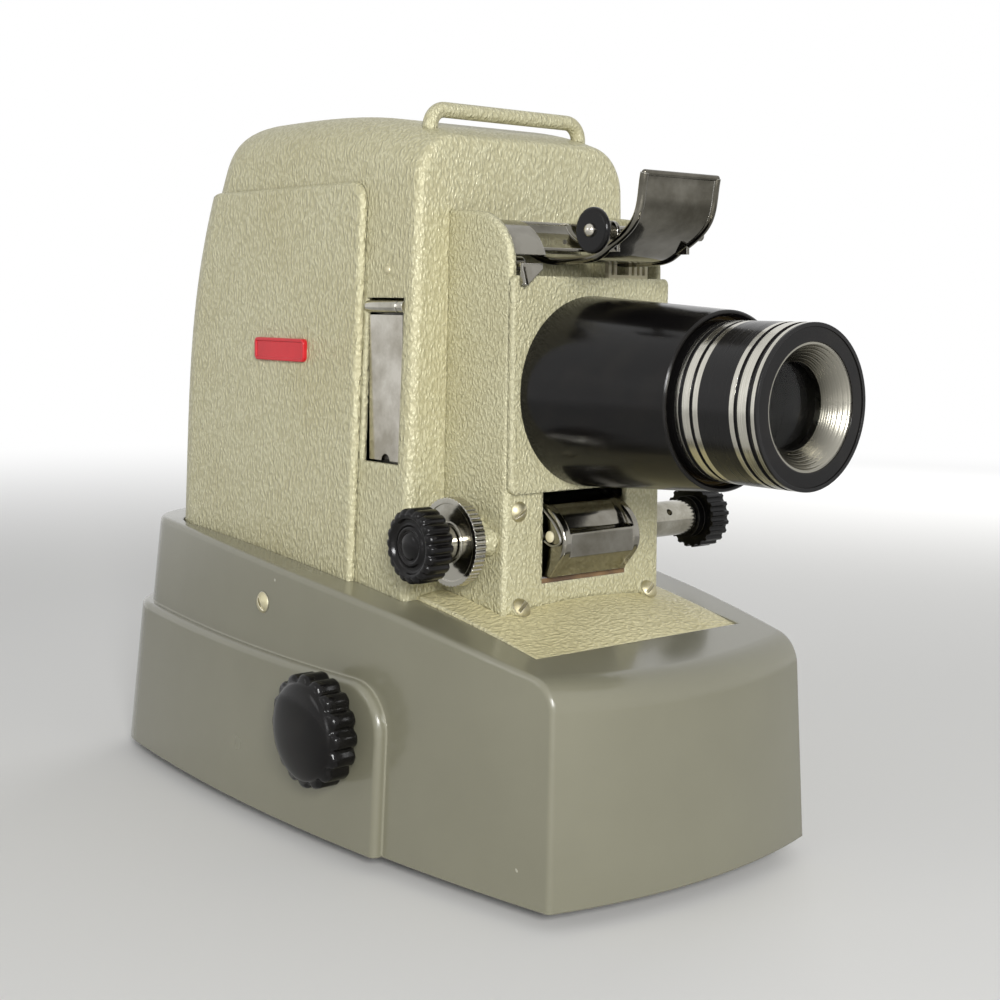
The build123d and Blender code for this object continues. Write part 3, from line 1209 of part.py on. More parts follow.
PIECES = {
    "base_shell": base_shell,
    "base_side_screws": base_side_screws,
    "bottom_pan": bottom_pan,
    "rubber_feet": rubber_feet,
    "tilt_pinion_shaft": tilt_pinion_shaft,
    "tilt_leg": tilt_leg,
    "leg_foot": leg_foot,
    "tilt_bracket": tilt_bracket,
    "tilt_bush": tilt_bush,
    "tilt_knob": tilt_knob,
    "lamp_house": lamp_house,
    "rear_cover": rear_cover,
    "cover_badge": cover_badge,
    "carry_handle": carry_handle,
    "front_deck": front_deck,
    "film_head": film_head,
    "head_floor": head_floor,
    "head_screws": head_screws,
    "lens_plate": lens_plate,
    "lens_tube": lens_tube,
    "barrel_guide": barrel_guide,
    "lens_barrel": lens_barrel,
    "front_ring": front_ring,
    "cone_ring": cone_ring,
    "lens_glass": lens_glass,
    "film_cradle": film_cradle,
    "gate_hood": gate_hood,
    "film_spindle": film_spindle,
    "spindle_disc": spindle_disc,
    "film_latch": film_latch,
    "film_guide_comb": film_guide_comb,
    "aperture_plate": aperture_plate,
    "pressure_plate": pressure_plate,
    "advance_shaft": advance_shaft,
    "left_knob": left_knob,
    "right_knob": right_knob,
    "right_collar": right_collar,
    "film_sprocket": film_sprocket,
    "framing_disc": framing_disc,
    "cone_boss": cone_boss,
    "sprocket_shoe": sprocket_shoe,
    "shoe_pin": shoe_pin,
    "window_seal": window_seal,
    "tray_frame": tray_frame,
    "tray_end_plate": tray_end_plate,
    "condenser_glass": condenser_glass,
    "tray_rails": tray_rails,
    "slot_guide_bar": slot_guide_bar,
    "lamp_envelope": lamp_envelope,
    "lamp_base": lamp_base,
    "lamp_socket": lamp_socket,
    "lamp_bracket": lamp_bracket,
    "reflector": reflector,
    "blower_motor": blower_motor,
    "fan_wheel": fan_wheel,
    "fan_scroll": fan_scroll,
    "power_inlet": power_inlet,
    "switch_body": switch_body,
    "switch_lever": switch_lever,
}

for name, make in PIECES.items():
    save(name, make())
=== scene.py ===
# %% [markdown]
# # Dressing a filmstrip projector
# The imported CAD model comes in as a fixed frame: every piece is already in its place, in metres, with +Z
# up and the lens towards -Y. This notebook adds what the solids lack: the camera, plain studio light, the
# paints, metals and plastics of each piece, and small trim that is too fine for the solids.

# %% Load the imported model
import json
import math

import bmesh
import bpy
from mathutils import Matrix, Vector


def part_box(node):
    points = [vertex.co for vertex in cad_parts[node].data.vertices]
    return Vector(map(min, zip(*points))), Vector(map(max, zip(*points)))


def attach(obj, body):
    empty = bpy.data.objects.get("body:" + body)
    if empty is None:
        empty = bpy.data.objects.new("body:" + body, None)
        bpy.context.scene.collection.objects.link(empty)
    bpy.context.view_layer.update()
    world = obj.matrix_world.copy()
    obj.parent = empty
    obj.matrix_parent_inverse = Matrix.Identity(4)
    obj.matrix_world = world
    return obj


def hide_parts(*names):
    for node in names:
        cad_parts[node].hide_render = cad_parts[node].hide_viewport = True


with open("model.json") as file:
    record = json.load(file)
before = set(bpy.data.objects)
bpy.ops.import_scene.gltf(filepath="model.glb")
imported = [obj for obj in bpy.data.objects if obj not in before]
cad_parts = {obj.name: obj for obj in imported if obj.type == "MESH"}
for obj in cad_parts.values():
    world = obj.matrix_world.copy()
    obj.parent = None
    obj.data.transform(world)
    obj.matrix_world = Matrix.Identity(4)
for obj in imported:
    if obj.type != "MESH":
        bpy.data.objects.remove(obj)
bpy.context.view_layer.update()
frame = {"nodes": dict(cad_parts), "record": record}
nodes_of_part = frame["nodes"]

# %% [markdown]
# The photograph was taken with a short telephoto lens, from the left front corner and a little below the
# top of the lamp house. A camera can be aimed with a constraint or by turning it about each axis in order.
# The turns are used here because a heading, a tilt and a small roll are easy to read and to correct.

# %% Camera
CAMERA_PLACE = Vector((-0.4906, -0.4890, 0.2505))
HEADING = math.radians(40.145)
TILT_DOWN = math.radians(7.037)
CAMERA_ROLL = math.radians(0.709)
SENSOR_MM = 36.0
FOCAL_MM = 57.6

lens_data = bpy.data.cameras.new("view_lens")
lens_data.sensor_width = SENSOR_MM
lens_data.lens = FOCAL_MM
camera = bpy.data.objects.new("view_camera", lens_data)
bpy.context.scene.collection.objects.link(camera)
aim = Matrix.Rotation(-HEADING, 4, "Z") @ Matrix.Rotation(math.pi / 2 - TILT_DOWN, 4, "X")
camera.matrix_world = Matrix.Translation(CAMERA_PLACE) @ aim @ Matrix.Rotation(CAMERA_ROLL, 4, "Z")
bpy.context.scene.camera = camera
bpy.context.scene.view_settings.view_transform = "Standard"
print("camera at", tuple(camera.location), "lens", lens_data.lens)

# %% [markdown]
# A few short helpers keep the material cells readable. Colours are given as screen values from 0
# to 255, while shaders want linear light, so one helper converts them. Another adds a shader node and fills
# in its sockets in one line. A socket goes by its name, or by its number where several share one name.


# %% Helpers for shader nodes
def screen_colour(red, green, blue):
    linear = []
    for value in (red, green, blue):
        part = value / 255
        linear.append(part / 12.92 if part <= 0.04045 else ((part + 0.055) / 1.055) ** 2.4)
    return (*linear, 1.0)


def add_node(tree, kind, values=None, **settings):
    made = tree.nodes.new("ShaderNode" + kind)
    for name, value in settings.items():
        setattr(made, name, value)
    for socket, value in (values or {}).items():
        made.inputs[socket].default_value = value
    return made


def join(tree, source, target):
    tree.links.new(source, target)


def start_material(name):
    material = bpy.data.materials.new(name)
    material.use_nodes = True
    tree = material.node_tree
    return material, tree, tree.nodes["Principled BSDF"]


print("mid grey 128 is", round(screen_colour(128, 128, 128)[0], 3), "in linear light")

# %% [markdown]
# The floor is a plain pale board. Near the projector it takes the shadow like real board; further out it
# fades into the white backdrop, so no horizon line cuts across the picture. The fade is a distance from the
# middle of the floor, worked out from Object coordinates, and the white is only seen by camera, glossy and
# transmission rays, so it adds no light to the object.


# %% Rays that see the backdrop
def sees_backdrop(tree):
    rays = add_node(tree, "LightPath")
    camera_or_gloss = add_node(tree, "Math", operation="MAXIMUM")
    any_of_three = add_node(tree, "Math", operation="MAXIMUM")
    join(tree, rays.outputs["Is Camera Ray"], camera_or_gloss.inputs[0])
    join(tree, rays.outputs["Is Glossy Ray"], camera_or_gloss.inputs[1])
    join(tree, camera_or_gloss.outputs[0], any_of_three.inputs[0])
    join(tree, rays.outputs["Is Transmission Ray"], any_of_three.inputs[1])
    return any_of_three.outputs[0]


# %% Floor
FLOOR_HALF = 4.0
WHITE = (1, 1, 1, 1)
FADE_STARTS = 0.75
FADE_ENDS = 2.2

floor_shape = bmesh.new()
bmesh.ops.create_grid(floor_shape, x_segments=2, y_segments=2, size=FLOOR_HALF)
floor_mesh = bpy.data.meshes.new("studio_floor")
floor_shape.to_mesh(floor_mesh)
floor_shape.free()
floor = bpy.data.objects.new("studio_floor", floor_mesh)
bpy.context.scene.collection.objects.link(floor)

board, tree, shader = start_material("pale_board")
shader.inputs["Base Color"].default_value = screen_colour(226, 225, 222)
shader.inputs["Roughness"].default_value = 0.75
white = add_node(tree, "Emission", {"Color": WHITE, "Strength": 1.0})
place = add_node(tree, "TexCoord")
length = add_node(tree, "VectorMath", operation="LENGTH")
fade = add_node(tree, "MapRange", {"From Min": FADE_STARTS, "From Max": FADE_ENDS},
                interpolation_type="SMOOTHSTEP")
gate = add_node(tree, "Math", operation="MULTIPLY")
mix = add_node(tree, "MixShader")
join(tree, place.outputs["Object"], length.inputs[0])
join(tree, length.outputs["Value"], fade.inputs["Value"])
join(tree, fade.outputs["Result"], gate.inputs[0])
join(tree, sees_backdrop(tree), gate.inputs[1])
join(tree, gate.outputs[0], mix.inputs[0])
join(tree, shader.outputs[0], mix.inputs[1])
join(tree, white.outputs[0], mix.inputs[2])
join(tree, mix.outputs[0], tree.nodes["Material Output"].inputs["Surface"])
floor_mesh.materials.append(board)
print("floor is", floor.dimensions[0], "m wide")

# %% [markdown]
# The world is the same on all sides: a weak, slightly cool fill that keeps the shadows open, and plain
# white wherever the camera, a mirror or a pane of glass looks past the object.

# %% World
ROOM_FILL = 0.33

world = bpy.data.worlds.new("studio_room")
bpy.context.scene.world = world
world.use_nodes = True
tree = world.node_tree
room_fill = tree.nodes["Background"]
room_fill.inputs["Color"].default_value = (0.95, 0.97, 1.0, 1.0)
room_fill.inputs["Strength"].default_value = ROOM_FILL
backdrop = add_node(tree, "Background", {"Color": WHITE, "Strength": 1.0})
mix = add_node(tree, "MixShader")
join(tree, sees_backdrop(tree), mix.inputs[0])
join(tree, room_fill.outputs[0], mix.inputs[1])
join(tree, backdrop.outputs[0], mix.inputs[2])
join(tree, mix.outputs[0], tree.nodes["World Output"].inputs["Surface"])
print("world fill", ROOM_FILL)

# %% [markdown]
# Three soft boxes light the set. The strongest stands in front on the left, so that the front faces are the
# brightest and its light just grazes the left side, where the hammered paint then shows its relief. A small
# one at the left puts a reflection on the enamelled base. One behind on the right lights the far sides, and
# it is kept out of reflections, because seen from the front it would glare on every flat top.


# %% Soft boxes
def soft_box(name, place, target, size, power, mirrored=True):
    lamp_data = bpy.data.lights.new(name, "AREA")
    lamp_data.shape = "RECTANGLE"
    lamp_data.size, lamp_data.size_y = size
    lamp_data.energy = power
    lamp = bpy.data.objects.new(name, lamp_data)
    lamp.visible_camera = False
    lamp.visible_glossy = mirrored
    lamp.location = place
    lamp.rotation_euler = (Vector(target) - Vector(place)).to_track_quat("-Z", "Y").to_euler()
    bpy.context.scene.collection.objects.link(lamp)
    print(name, power, "W")


soft_box("front_box", (-1.05, -1.53, 0.78), (0, 0.05, 0.2), (0.5, 0.5), 41)
soft_box("left_box", (-1.75, 0.65, 0.80), (0, 0.15, 0.15), (0.7, 0.5), 2.5)
soft_box("back_box", (1.60, 0.90, 0.60), (0, 0.15, 0.2), (1.0, 0.8), 12, mirrored=False)


# %% [markdown]
# Patterns on paint and metal come from noise that is read at a point of the piece itself, in Object
# coordinates, so they stay on the piece when it moves. Two more helpers turn a noise value into a colour
# between two tones, or into a number between two limits.


# %% Helpers for patterns
def object_point(tree, stretch=(1, 1, 1)):
    place = add_node(tree, "TexCoord")
    scaled = add_node(tree, "Mapping", {"Scale": stretch})
    join(tree, place.outputs["Object"], scaled.inputs["Vector"])
    return scaled.outputs["Vector"]


def noise(tree, point, scale, detail=3.0, rough=0.55):
    made = add_node(tree, "TexNoise", {"Scale": scale, "Detail": detail, "Roughness": rough})
    join(tree, point, made.inputs["Vector"])
    return made


def blend_colours(tree, factor, low, high, start=0.0, end=1.0):
    made = add_node(tree, "ValToRGB")
    first, last = made.color_ramp.elements
    first.color, last.color = screen_colour(*low), screen_colour(*high)
    first.position, last.position = start, end
    join(tree, factor, made.inputs["Fac"])
    return made.outputs["Color"]


def spread(tree, factor, low, high, start=0.3, end=0.7):
    limits = {"From Min": start, "From Max": end, "To Min": low, "To Max": high}
    made = add_node(tree, "MapRange", limits)
    join(tree, factor, made.inputs["Value"])
    return made.outputs["Result"]


def lay_over(tree, paint, colour, amount, **settings):
    made = add_node(tree, "MixRGB", {"Color2": screen_colour(*colour)}, **settings)
    join(tree, amount, made.inputs["Fac"])
    join(tree, paint, made.inputs["Color1"])
    return made.outputs["Color"]


print("pattern helpers ready")


# %% [markdown]
# Real edges are never knife sharp. Rounding every CAD edge in the mesh would change a fixed frame, so the
# rounding is done in the shader: the Bevel node blends the normals of faces that meet, and the same node
# tells where an edge is. There the colour is lightened, partly as rubbed paint and partly as a painted
# highlight along the edge. The last helper joins a finish's colour, roughness and relief to the shader.


# %% Helpers for edges and relief
def rounded_normal(tree, radius):
    made = add_node(tree, "Bevel", {"Radius": radius}, samples=4)
    return made.outputs["Normal"]


# Lightens the colour along edges: partly rubbed paint, partly a painted highlight.
def rub_and_highlight_edges(tree, paint, soft_normal, colour, share):
    flat = add_node(tree, "NewGeometry")
    turn = add_node(tree, "VectorMath", operation="DOT_PRODUCT")
    join(tree, flat.outputs["Normal"], turn.inputs[0])
    join(tree, soft_normal, turn.inputs[1])
    rubbed_and_highlit = add_node(tree, "Math", {1: share}, operation="MULTIPLY")
    join(tree, spread(tree, turn.outputs["Value"], 0.0, 1.0, start=0.985, end=0.86), rubbed_and_highlit.inputs[0])
    return lay_over(tree, paint, colour, rubbed_and_highlit.outputs[0])


def bump(tree, height, soft_normal, strength, distance):
    made = add_node(tree, "Bump", {"Strength": strength, "Distance": distance})
    join(tree, height, made.inputs["Height"])
    join(tree, soft_normal, made.inputs["Normal"])
    return made.outputs["Normal"]


def join_finish(tree, shader, colour, roughness, relief):
    join(tree, colour, shader.inputs["Base Color"])
    join(tree, roughness, shader.inputs["Roughness"])
    join(tree, relief, shader.inputs["Normal"])


print("edge and relief helpers ready")

# %% [markdown]
# Hammered enamel covers the lamp house, its cover, the film head and the deck. The wet paint pulls into
# small pools one or two millimetres wide, drawn out longer downwards on the standing walls. Noise alone
# looks like sand, and plain Voronoi cells look like a honeycomb, so the cells are smoothed and their place
# is first shaken by a coarse noise. The pools are lighter than the lines between them, and edges are
# lighter still, partly as rubbed paint and partly as a painted highlight.

# %% Hammered enamel
CELL_SHAKE = (0.0027, 0.0027, 0.0027)
FINE_SHARE = -0.35
HAMMER_DEPTH = 0.00065
AGED_TINT = (214, 202, 160)
RUBBED_AND_HIGHLIGHT_TINT = (214, 210, 178)


def hammered_enamel(name, stretch, scale=740.0, pools=(194, 190, 158), lines=(174, 169, 137)):
    material, tree, shader = start_material(name)
    point = object_point(tree, stretch)
    shake = noise(tree, point, 280.0, 2.0)
    shaken = add_node(tree, "VectorMath", {1: CELL_SHAKE}, operation="MULTIPLY_ADD")
    join(tree, shake.outputs["Color"], shaken.inputs[0])
    join(tree, point, shaken.inputs[2])
    cells = add_node(tree, "TexVoronoi", {"Scale": scale, "Smoothness": 0.6, "Randomness": 1.0},
                     feature="SMOOTH_F1")
    join(tree, shaken.outputs["Vector"], cells.inputs["Vector"])
    pooling = cells.outputs["Distance"]
    fine = noise(tree, point, 1300.0, 2.0)
    height = add_node(tree, "Math", {1: FINE_SHARE}, operation="MULTIPLY_ADD")
    join(tree, fine.outputs["Fac"], height.inputs[0])
    join(tree, pooling, height.inputs[2])
    soft = rounded_normal(tree, 0.0028)
    relief = bump(tree, height.outputs[0], soft, 1.0, -HAMMER_DEPTH)
    paint = blend_colours(tree, pooling, pools, lines, 0.22, 0.58)
    stain = noise(tree, object_point(tree), 9.0, 4.0)
    stained = spread(tree, stain.outputs["Fac"], 0.0, 0.3, 0.45, 0.75)
    aged = lay_over(tree, paint, AGED_TINT, stained, blend_type="MULTIPLY")
    # Edges lightened: partly rubbed paint, partly a painted highlight.
    worn_and_highlit = rub_and_highlight_edges(tree, aged, soft, RUBBED_AND_HIGHLIGHT_TINT, 0.6)
    join_finish(tree, shader, worn_and_highlit, spread(tree, pooling, 0.28, 0.45, 0.1, 0.7), relief)
    shader.inputs["Metallic"].default_value = 0.12
    shader.inputs["Specular IOR Level"].default_value = 0.4
    print(name, "cells about", round(1000 / scale, 1), "mm")
    return material


wall_enamel = hammered_enamel("hammered_wall_enamel", (1.0, 1.0, 0.55))
head_enamel = hammered_enamel("hammered_head_enamel", (1.0, 1.0, 0.75), 780.0)
deck_enamel = hammered_enamel("hammered_deck_enamel", (0.6, 1.0, 1.0), 680.0, (216, 208, 166),
                              (196, 188, 148))

# %% [markdown]
# The base has the same colour family without the hammering: a smooth gloss enamel with a faint orange
# peel. Age shows as slightly duller patches, lighter edges that are partly rubbed paint and partly a painted
# highlight, and a few small chips where pale primer shows.
# The chips come from a noise that is cut off near its top, so only its rare peaks are left.

# %% Smooth base enamel
CHIP_LEVEL = 0.8
CHIP_EDGE = 0.808

base_enamel, tree, shader = start_material("smooth_base_enamel")
point = object_point(tree)
peel = noise(tree, point, 420.0, 2.0)
patches = noise(tree, point, 14.0, 5.0)
chips = noise(tree, point, 150.0, 2.0, 0.4)
soft = rounded_normal(tree, 0.0018)
tone = blend_colours(tree, patches.outputs["Fac"], (112, 110, 93), (124, 122, 104))
# Edges lightened: partly rubbed paint, partly a painted highlight.
rubbed_and_highlit = rub_and_highlight_edges(tree, tone, soft, (176, 172, 152), 0.5)
chipped = lay_over(tree, rubbed_and_highlit, (158, 155, 140),
                   spread(tree, chips.outputs["Fac"], 0.0, 1.0, CHIP_LEVEL, CHIP_EDGE))
join_finish(tree, shader, chipped, spread(tree, patches.outputs["Fac"], 0.16, 0.28),
            bump(tree, peel.outputs["Fac"], soft, 0.25, 0.00006))
shader.inputs["Coat Weight"].default_value = 0.3
shader.inputs["Coat Roughness"].default_value = 0.1
print("base enamel made")

# %% [markdown]
# Two blacks are used. The knobs are pressed phenolic plastic: deep, glossy and a little dusty in the
# hollows. The lens tube and the face ring are black enamel on metal, with long fine scratches along the
# tube from years of handling, so its noise is stretched along the lens axis.


# %% Black plastics and enamel
def black_gloss(name, stretch, streak, low, high):
    material, tree, shader = start_material(name)
    marks = noise(tree, object_point(tree, stretch), streak, 5.0, 0.65).outputs["Fac"]
    dust = noise(tree, object_point(tree), 60.0, 4.0)
    soft = rounded_normal(tree, 0.0006)
    tone = blend_colours(tree, dust.outputs["Fac"], (12, 11, 11), (22, 20, 18), 0.45, 0.8)
    # Edges lightened: partly scuffed plastic, partly a painted highlight.
    rubbed_and_highlit = rub_and_highlight_edges(tree, tone, soft, (70, 66, 60), 0.3)
    join_finish(tree, shader, rubbed_and_highlit, spread(tree, marks, low, high),
                bump(tree, marks, soft, 0.12, 0.00005))
    shader.inputs["Specular IOR Level"].default_value = 0.22
    print(name, "roughness", low, "to", high)
    return material


black_phenolic = black_gloss("black_phenolic", (1, 1, 1), 90.0, 0.1, 0.24)
tube_black = black_gloss("tube_black_enamel", (1, 0.06, 1), 260.0, 0.1, 0.26)

# %% [markdown]
# Bright metals differ mostly in roughness and in the direction of their fine marks. One recipe makes them
# all: a metal colour, a marks pattern stretched along the way the piece was polished or turned, and dull
# patches.


# %% Metals
def worked_metal(name, colour, tarnish, stretch, marks_scale, low, high, depth=0.00003):
    material, tree, shader = start_material(name)
    marks = noise(tree, object_point(tree, stretch), marks_scale, 4.0, 0.6).outputs["Fac"]
    patches = noise(tree, object_point(tree), 34.0, 6.0, 0.62).outputs["Fac"]
    soft = rounded_normal(tree, 0.0005)
    tone = blend_colours(tree, patches, tarnish, colour, 0.36, 0.58)
    # Edges lightened towards white: partly rubbed metal, partly a painted highlight.
    bright = rub_and_highlight_edges(tree, tone, soft, (222, 220, 214), 0.7)
    shine = add_node(tree, "Math", {1: 0.5}, operation="MULTIPLY_ADD")
    join(tree, spread(tree, patches, high, low), shine.inputs[0])
    join(tree, spread(tree, marks, low * 0.5, high * 0.5), shine.inputs[2])
    join_finish(tree, shader, bright, shine.outputs[0], bump(tree, marks, soft, 0.2, depth))
    shader.inputs["Metallic"].default_value = 1.0
    print(name, "made")
    return material


# Chrome colour set well below real chrome: a painted dark reflection, because the studio around it is white.
# Its tarnish patches are real.
chrome = worked_metal("tarnished_chrome_with_painted_dark_reflection", (146, 143, 134), (116, 112, 101), (1, 0.3, 0.3), 120.0, 0.05, 0.2)
# The cradle's chrome is darker still: a painted dark reflection inside the trough.
cradle_chrome_with_painted_dark_reflection = worked_metal("cradle_chrome_with_painted_dark_reflection", (118, 115, 106), (86, 83, 74), (1, 0.3, 0.3), 120.0,
                             0.03, 0.12)
bright_chrome = worked_metal("bright_chrome", (196, 192, 182), (156, 151, 138), (1, 0.3, 1), 160.0,
                             0.06, 0.22)
turned_chrome = worked_metal("turned_chrome", (190, 187, 176), (140, 136, 122), (12, 1, 1), 60.0,
                             0.06, 0.2)
satin_steel = worked_metal("satin_steel", (150, 149, 146), (122, 120, 116), (0.2, 1, 1), 300.0, 0.3, 0.5)
brass = worked_metal("aged_brass", (92, 78, 50), (58, 48, 34), (1, 1, 0.3), 200.0, 0.4, 0.6)
screw_nickel = worked_metal("screw_nickel", (204, 198, 168), (166, 158, 126), (1, 1, 1), 260.0,
                            0.42, 0.62)
mirror_silver = worked_metal("mirror_silver", (232, 232, 230), (220, 220, 218), (1, 1, 1), 30.0,
                             0.02, 0.08, 0.00001)

# %% [markdown]
# The funnel behind the face ring is turned with a fine screw-like tool mark, which shows as close rings
# round the glass. Wave textures run along straight axes unless told otherwise, so the distance from the
# lens axis is measured first, and a sine of that distance makes the rings wherever the camera stands. The
# funnel's colour is also darkened towards its throat, as painted shade down in the recess.

# %% Turned funnel
AXIS_Z = 0.2116
RING_STEP = 0.0006
THROAT_RADIUS = 0.0175
MOUTH_RADIUS = 0.0245


def distance_from_axis(tree):
    place = add_node(tree, "TexCoord")
    flat = add_node(tree, "Mapping", {"Location": (0, 0, -AXIS_Z)})
    across = add_node(tree, "VectorMath", {1: (1, 0, 1)}, operation="MULTIPLY")
    length = add_node(tree, "VectorMath", operation="LENGTH")
    join(tree, place.outputs["Object"], flat.inputs["Vector"])
    join(tree, flat.outputs["Vector"], across.inputs[0])
    join(tree, across.outputs["Vector"], length.inputs[0])
    return length.outputs["Value"]


polished_ring, tree, shader = start_material("turned_funnel")
radius = distance_from_axis(tree)
turns = add_node(tree, "Math", {1: 2 * math.pi / RING_STEP}, operation="MULTIPLY")
wave = add_node(tree, "Math", operation="SINE")
join(tree, radius, turns.inputs[0])
join(tree, turns.outputs[0], wave.inputs[0])
cloud = noise(tree, object_point(tree), 60.0, 4.0)
# Painted shade: the colour darkens towards the deep throat of the funnel.
throat_painted_shade = blend_colours(tree, spread(tree, radius, 0.0, 1.0, THROAT_RADIUS, MOUTH_RADIUS),
                           (84, 82, 74), (160, 157, 146))
join_finish(tree, shader, throat_painted_shade, spread(tree, cloud.outputs["Fac"], 0.16, 0.32),
            bump(tree, wave.outputs[0], rounded_normal(tree, 0.0003), 0.3, 0.00006))
shader.inputs["Metallic"].default_value = 1.0
print("funnel rings", 1000 * RING_STEP, "mm apart")

# %% [markdown]
# The lens barrel is turned aluminium with black enamel between its bright bands. The bands are rings at set
# distances behind the front rim, here in millimetres, so a ramp along the lens axis with hard steps gives
# them all, and the same ramp decides which parts are metal. Only the outer skin of the barrel has bands:
# nearer to the axis everything is black.

# %% Banded lens barrel
RIM_Y = -0.094
BAND_SPAN_MM = 45
BRIGHT_BANDS = ((0.9, 2.8), (5.0, 9.4), (11.2, 13.4), (29.7, 32.4), (34.0, 38.0), (40.0, 42.0))
BLACK = (0, 0, 0, 1)

barrel_finish, tree, shader = start_material("banded_barrel")
place = add_node(tree, "TexCoord")
axes = add_node(tree, "SeparateXYZ")
join(tree, place.outputs["Object"], axes.inputs[0])
along = spread(tree, axes.outputs["Y"], 0.0, 1.0, RIM_Y, RIM_Y + BAND_SPAN_MM / 1000)
steps = add_node(tree, "ValToRGB")
steps.color_ramp.interpolation = "CONSTANT"
stops = steps.color_ramp.elements
stops.remove(stops[1])
stops[0].color = BLACK
for near, far in BRIGHT_BANDS:
    stops.new(near / BAND_SPAN_MM).color = WHITE
    stops.new(far / BAND_SPAN_MM).color = BLACK
join(tree, along, steps.inputs["Fac"])
outer_skin = spread(tree, distance_from_axis(tree), 0.0, 1.0, 0.0320, 0.0321)
bright_part = add_node(tree, "Math", operation="MULTIPLY")
join(tree, steps.outputs["Color"], bright_part.inputs[0])
join(tree, outer_skin, bright_part.inputs[1])
turning = noise(tree, object_point(tree, (1, 40, 1)), 40.0, 3.0).outputs["Fac"]
bands = add_node(tree, "MixRGB", {"Color1": screen_colour(16, 15, 15)})
join(tree, bright_part.outputs[0], bands.inputs["Fac"])
join(tree, blend_colours(tree, turning, (178, 175, 165), (222, 219, 208)), bands.inputs["Color2"])
join(tree, bright_part.outputs[0], shader.inputs["Metallic"])
join_finish(tree, shader, bands.outputs["Color"], spread(tree, turning, 0.14, 0.3),
            bump(tree, turning, rounded_normal(tree, 0.0003), 0.25, 0.00003))
shader.inputs["Specular IOR Level"].default_value = 0.28
print("bright bands:", len(BRIGHT_BANDS))

# %% [markdown]
# Plain plastics, rubber, felt, ceramic and paint share one more recipe: a colour that drifts a little, a
# roughness and a fine grain. Felt gets a deep grain and sheen, and fired ceramic almost none.


# %% Plain finishes
def plain_finish(name, dark, light, grain, low, high, depth, sheen=0.0):
    material, tree, shader = start_material(name)
    point = object_point(tree)
    specks = noise(tree, point, grain, 4.0).outputs["Fac"]
    drift = noise(tree, point, grain / 12, 3.0).outputs["Fac"]
    join_finish(tree, shader, blend_colours(tree, drift, dark, light, 0.35, 0.65),
                spread(tree, specks, low, high),
                bump(tree, specks, rounded_normal(tree, 0.0005), 0.5, depth))
    shader.inputs["Sheen Weight"].default_value = sheen
    print(name, "made")
    return material


rubber = plain_finish("foot_rubber", (30, 29, 28), (42, 41, 39), 700.0, 0.7, 0.9, 0.0001)
felt = plain_finish("brown_felt", (74, 52, 32), (120, 92, 58), 900.0, 0.85, 1.0, 0.0006, 0.4)
cream_plastic = plain_finish("cream_plastic", (188, 180, 150), (208, 201, 172), 300.0, 0.35, 0.5, 0.00004)
ceramic = plain_finish("white_ceramic", (214, 209, 198), (228, 224, 214), 200.0, 0.2, 0.35, 0.00003)
red_paint = plain_finish("badge_red", (184, 20, 32), (194, 24, 36), 900.0, 0.3, 0.36, 0.00001)

# %% [markdown]
# The lens glass looks nearly black from outside, because it shows the blackened barrel behind it. Plain
# transmission does that by itself, with only a slight smoke in the colour and a film of dust in the
# roughness. A coated lens reflects far less than bare glass, and a lower index of refraction is the simple
# way to say so.


# %% Glass
def clear_glass(name, tint, dust, index):
    material, tree, shader = start_material(name)
    film = noise(tree, object_point(tree), 80.0, 4.0).outputs["Fac"]
    smoked = [value * 0.96 for value in tint]
    join(tree, spread(tree, film, 0.0, dust), shader.inputs["Roughness"])
    join(tree, blend_colours(tree, film, tint, smoked), shader.inputs["Base Color"])
    shader.inputs["Transmission Weight"].default_value = 1.0
    shader.inputs["IOR"].default_value = index
    print(name, "made")
    return material


lens_glass_finish = clear_glass("lens_glass", (190, 190, 182), 0.002, 1.24)
lamp_glass_finish = clear_glass("lamp_glass", (244, 246, 244), 0.03, 1.45)

# %% [markdown]
# Every CAD piece now gets its finish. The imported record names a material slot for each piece, so one table
# from slot to finish dresses them all, and a few pieces get a finish of their own.

# %% Dress the CAD pieces
SLOT_FINISH = {
    "enamel": base_enamel, "hammertone": wall_enamel, "polished_ring": polished_ring,
    "black_phenolic": black_phenolic, "black_enamel": tube_black, "aluminium": barrel_finish,
    "chrome": chrome, "satin_steel": satin_steel, "brass": brass, "screw_metal": screw_nickel,
    "glass": lens_glass_finish, "mirror": mirror_silver, "red_paint": red_paint,
    "rubber": rubber, "felt": felt, "cream_plastic": cream_plastic, "ceramic": ceramic,
}
OWN_FINISH = {
    "film_head": head_enamel, "lens_plate": head_enamel, "cone_boss": head_enamel,
    "front_deck": deck_enamel, "framing_disc": turned_chrome, "right_collar": turned_chrome,
    "advance_shaft": turned_chrome, "slot_guide_bar": turned_chrome, "film_cradle": cradle_chrome_with_painted_dark_reflection,
    "tray_end_plate": bright_chrome, "lamp_envelope": lamp_glass_finish,
}
for row in frame["record"]["subparts"]:
    finish = OWN_FINISH.get(row["node"], SLOT_FINISH[row["material_slot"]])
    data = nodes_of_part[row["node"]].data
    data.materials.clear()
    data.materials.append(finish)

# %% [markdown]
# Round pieces are made the way a lathe makes them. A short profile, given as radius and height in
# millimetres, is spun round its axis, and its open ends merge at the middle. The finished bmesh is then
# laid on its axis and becomes an object that rides on the body it belongs to. Several of these pieces face
# left, and sit on the inner or the outer end of a CAD node.

# %% Helpers for turned pieces
MM = 0.001
LEFT = (-1, 0, 0)
OUTER_END = 0
INNER_END = 1


